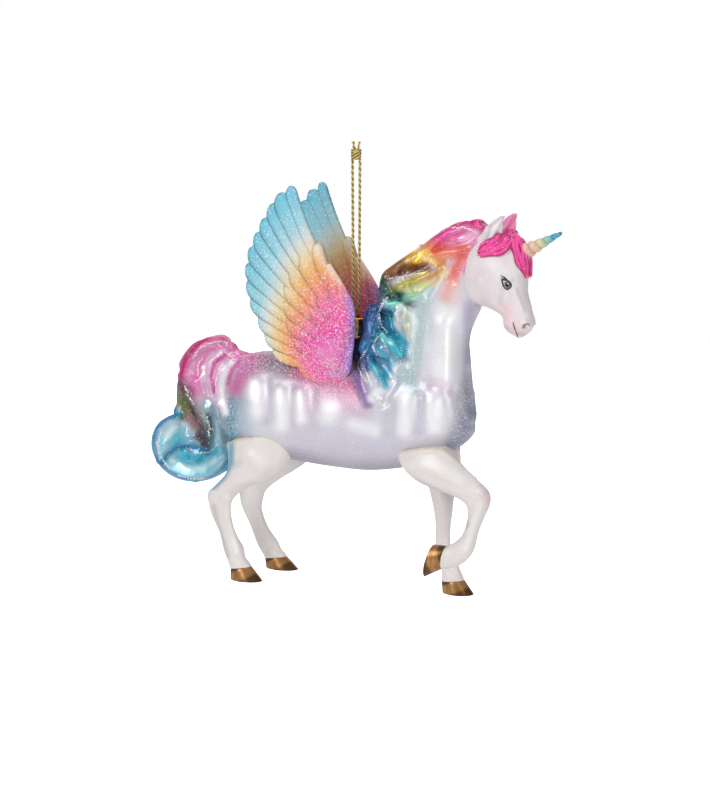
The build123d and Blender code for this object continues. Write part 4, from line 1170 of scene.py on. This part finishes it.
glass_surface = surface_of(body)
piped = [
    [386,297, 381,304, 377,311, 378,318, 380,326, 386,333], [376,337, 371,346, 374,355],
    [364,351, 357,360, 356,367, 360,376, 366,383], [398,309, 393,313, 396,319, 400,322],
    [386,279, 397,277, 410,274, 420,270, 427,265], [404,262, 414,256, 424,250],
    [450,228, 460,227, 470,230, 476,234], [192,358, 196,350, 205,344, 216,341, 226,343],
    [183,386, 187,396, 192,404], [205,416, 208,428, 207,436], [184,447, 196,453, 207,452, 216,444],
    [159,432, 156,444, 159,457, 168,468], [176,475, 190,479, 204,478], [214,462, 222,454],
    [200,358, 196,366, 196,374], [226,354, 234,352],
]
spots, sizes, tints = [], [], []
pale = linear([(250, 250, 250), (214, 240, 246), (250, 236, 200), (246, 214, 236)])
for line in piped:
    line = np.array(line, float).reshape(-1, 2)
    run = np.concatenate([[0], np.cumsum(np.hypot(*np.diff(line, axis=0).T))])
    for at in np.arange(0, run[-1], 0.42):
        x = np.interp(at, run, line[:, 0]) + rng.normal(0, 0.55)
        y = np.interp(at, run, line[:, 1]) + rng.normal(0, 0.55)
        place, normal = onto(glass_surface, x, y, 0.03)
        size = rng.uniform(0.10, 0.20)
        for way in (1, -1):
            spots.append((place * [1, way, 1], normal * [1, way, 1]))
            sizes.append(size)
            tints.append(pale[rng.integers(4)])
flakes_at(spots, sizes, tints, "piped_glitter", "glass_body")


def strew(thing, count, level, tint_list):
    """Flakes strewn over a surface, more of them where the Glitter value is high."""
    mesh = thing.data
    co = places(thing)
    value = fetch(mesh.attributes["Glitter"].data, "value", 1)[:, 0]
    triangles = fetch(mesh.loop_triangles, "vertices", 3, np.int32)
    corners = co[triangles]
    square = np.cross(corners[:, 1] - corners[:, 0], corners[:, 2] - corners[:, 0])
    size = np.linalg.norm(square, axis=1)
    weight = size * np.clip(value[triangles].mean(1) - level, 0, None)
    chosen = rng.choice(len(triangles), count, p=weight / weight.sum())
    share = rng.dirichlet((1, 1, 1), count)
    at = (corners[chosen] * share[:, :, None]).sum(1)
    normal = square[chosen] / size[chosen][:, None]
    picked = linear(tint_list)[rng.integers(len(tint_list), size=count)]
    return [(p + n * 0.02, n) for p, n in zip(at, normal)], rng.uniform(0.06, 0.13, count), picked


body.data.calc_loop_triangles()
flakes_at(*strew(body, GLASS_FLAKES, 0.35, [(250, 250, 250), (250, 226, 240), (214, 238, 248)]),
          "strewn_glitter", "glass_body")
wing_tints = [(255, 226, 130), (255, 176, 214), (255, 236, 226), (190, 236, 244), (250, 150, 190)]
for name in ("right_wing", "left_wing"):
    thing = bpy.data.objects[name + "_cast"]
    thing.data.calc_loop_triangles()
    flakes_at(*strew(thing, WING_FLAKES, 0.45, wing_tints), name + "_glitter", "wing")

# ---- cap and clip ----
for name in ("cap", "hanger_clip"):
    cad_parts[name].data.materials.clear()
    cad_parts[name].data.materials.append(gold)

# ---- floor, backdrop and lights ----
world = bpy.data.worlds.new("studio")
bpy.context.scene.world = world
world.use_nodes = True
tree = world.node_tree
shade = tree.nodes["Background"]
shade.inputs["Color"].default_value = (0.78, 0.79, 0.82, 1)
shade.inputs["Strength"].default_value = 0.36
white = tree.nodes.new("ShaderNodeBackground")
white.inputs["Color"].default_value = (1, 1, 1, 1)
path = tree.nodes.new("ShaderNodeLightPath")
join = tree.nodes.new("ShaderNodeMixShader")
tree.links.new(path.outputs["Is Camera Ray"], join.inputs[0])
tree.links.new(shade.outputs[0], join.inputs[1])
tree.links.new(white.outputs[0], join.inputs[2])
tree.links.new(join.outputs[0], tree.nodes["World Output"].inputs["Surface"])

FLOOR, REACH = -190, 900
corners = [(-REACH, -REACH, FLOOR), (REACH, -REACH, FLOOR), (REACH, REACH, FLOOR), (-REACH, REACH, FLOOR)]
floor = piece("floor", corners, [(0, 1, 2, 3)])
m = Maker("pale_floor")
tint = m.ramp(m.noise(14, 3), [(0.3, (246, 246, 247)), (0.7, (252, 252, 252))])
m.set(Base_Color=tint, Roughness=0.8)
out_from_middle = m.node("VectorMath", {0: m.where()}, operation="LENGTH").outputs["Value"]
glow = m.spread(out_from_middle, 0.2, 0.34, 0.5, 1.0)
lit_floor = m.node("Emission", {"Color": (1, 1, 1, 1), "Strength": glow})
both, seen = m.node("AddShader"), m.node("MixShader")
camera_ray = m.node("LightPath").outputs["Is Camera Ray"]
m.join((m.shader.outputs[0], both.inputs[0]), (lit_floor.outputs[0], both.inputs[1]),
       (camera_ray, seen.inputs[0]), (m.shader.outputs[0], seen.inputs[1]),
       (both.outputs[0], seen.inputs[2]),
       (seen.outputs[0], m.tree.nodes["Material Output"].inputs["Surface"]))
floor.data.materials.append(m.material)


def lamp(name, place, size, power):
    light = bpy.data.lights.new(name, "AREA")
    light.shape = "RECTANGLE"
    light.size, light.size_y = size
    light.energy = power
    thing = add(name, light)
    thing.location = place
    aim = Vector((0, 0, -0.07)) - Vector(place)
    thing.rotation_mode = "QUATERNION"
    thing.rotation_quaternion = aim.to_track_quat("-Z", "Y")


lamp("key", (-0.25, -0.75, 0.45), (0.40, 0.55), 4.1)
lamp("fill", (0.75, -0.45, 0.15), (0.25, 0.7), 2.0)
lamp("top", (0.0, 0.1, 0.8), (0.5, 0.5), 2.4)
lamp("rear", (-0.3, 0.8, 0.3), (0.8, 0.5), 1.6)

bpy.context.scene.view_settings.view_transform = "Standard"
bpy.context.view_layer.update()
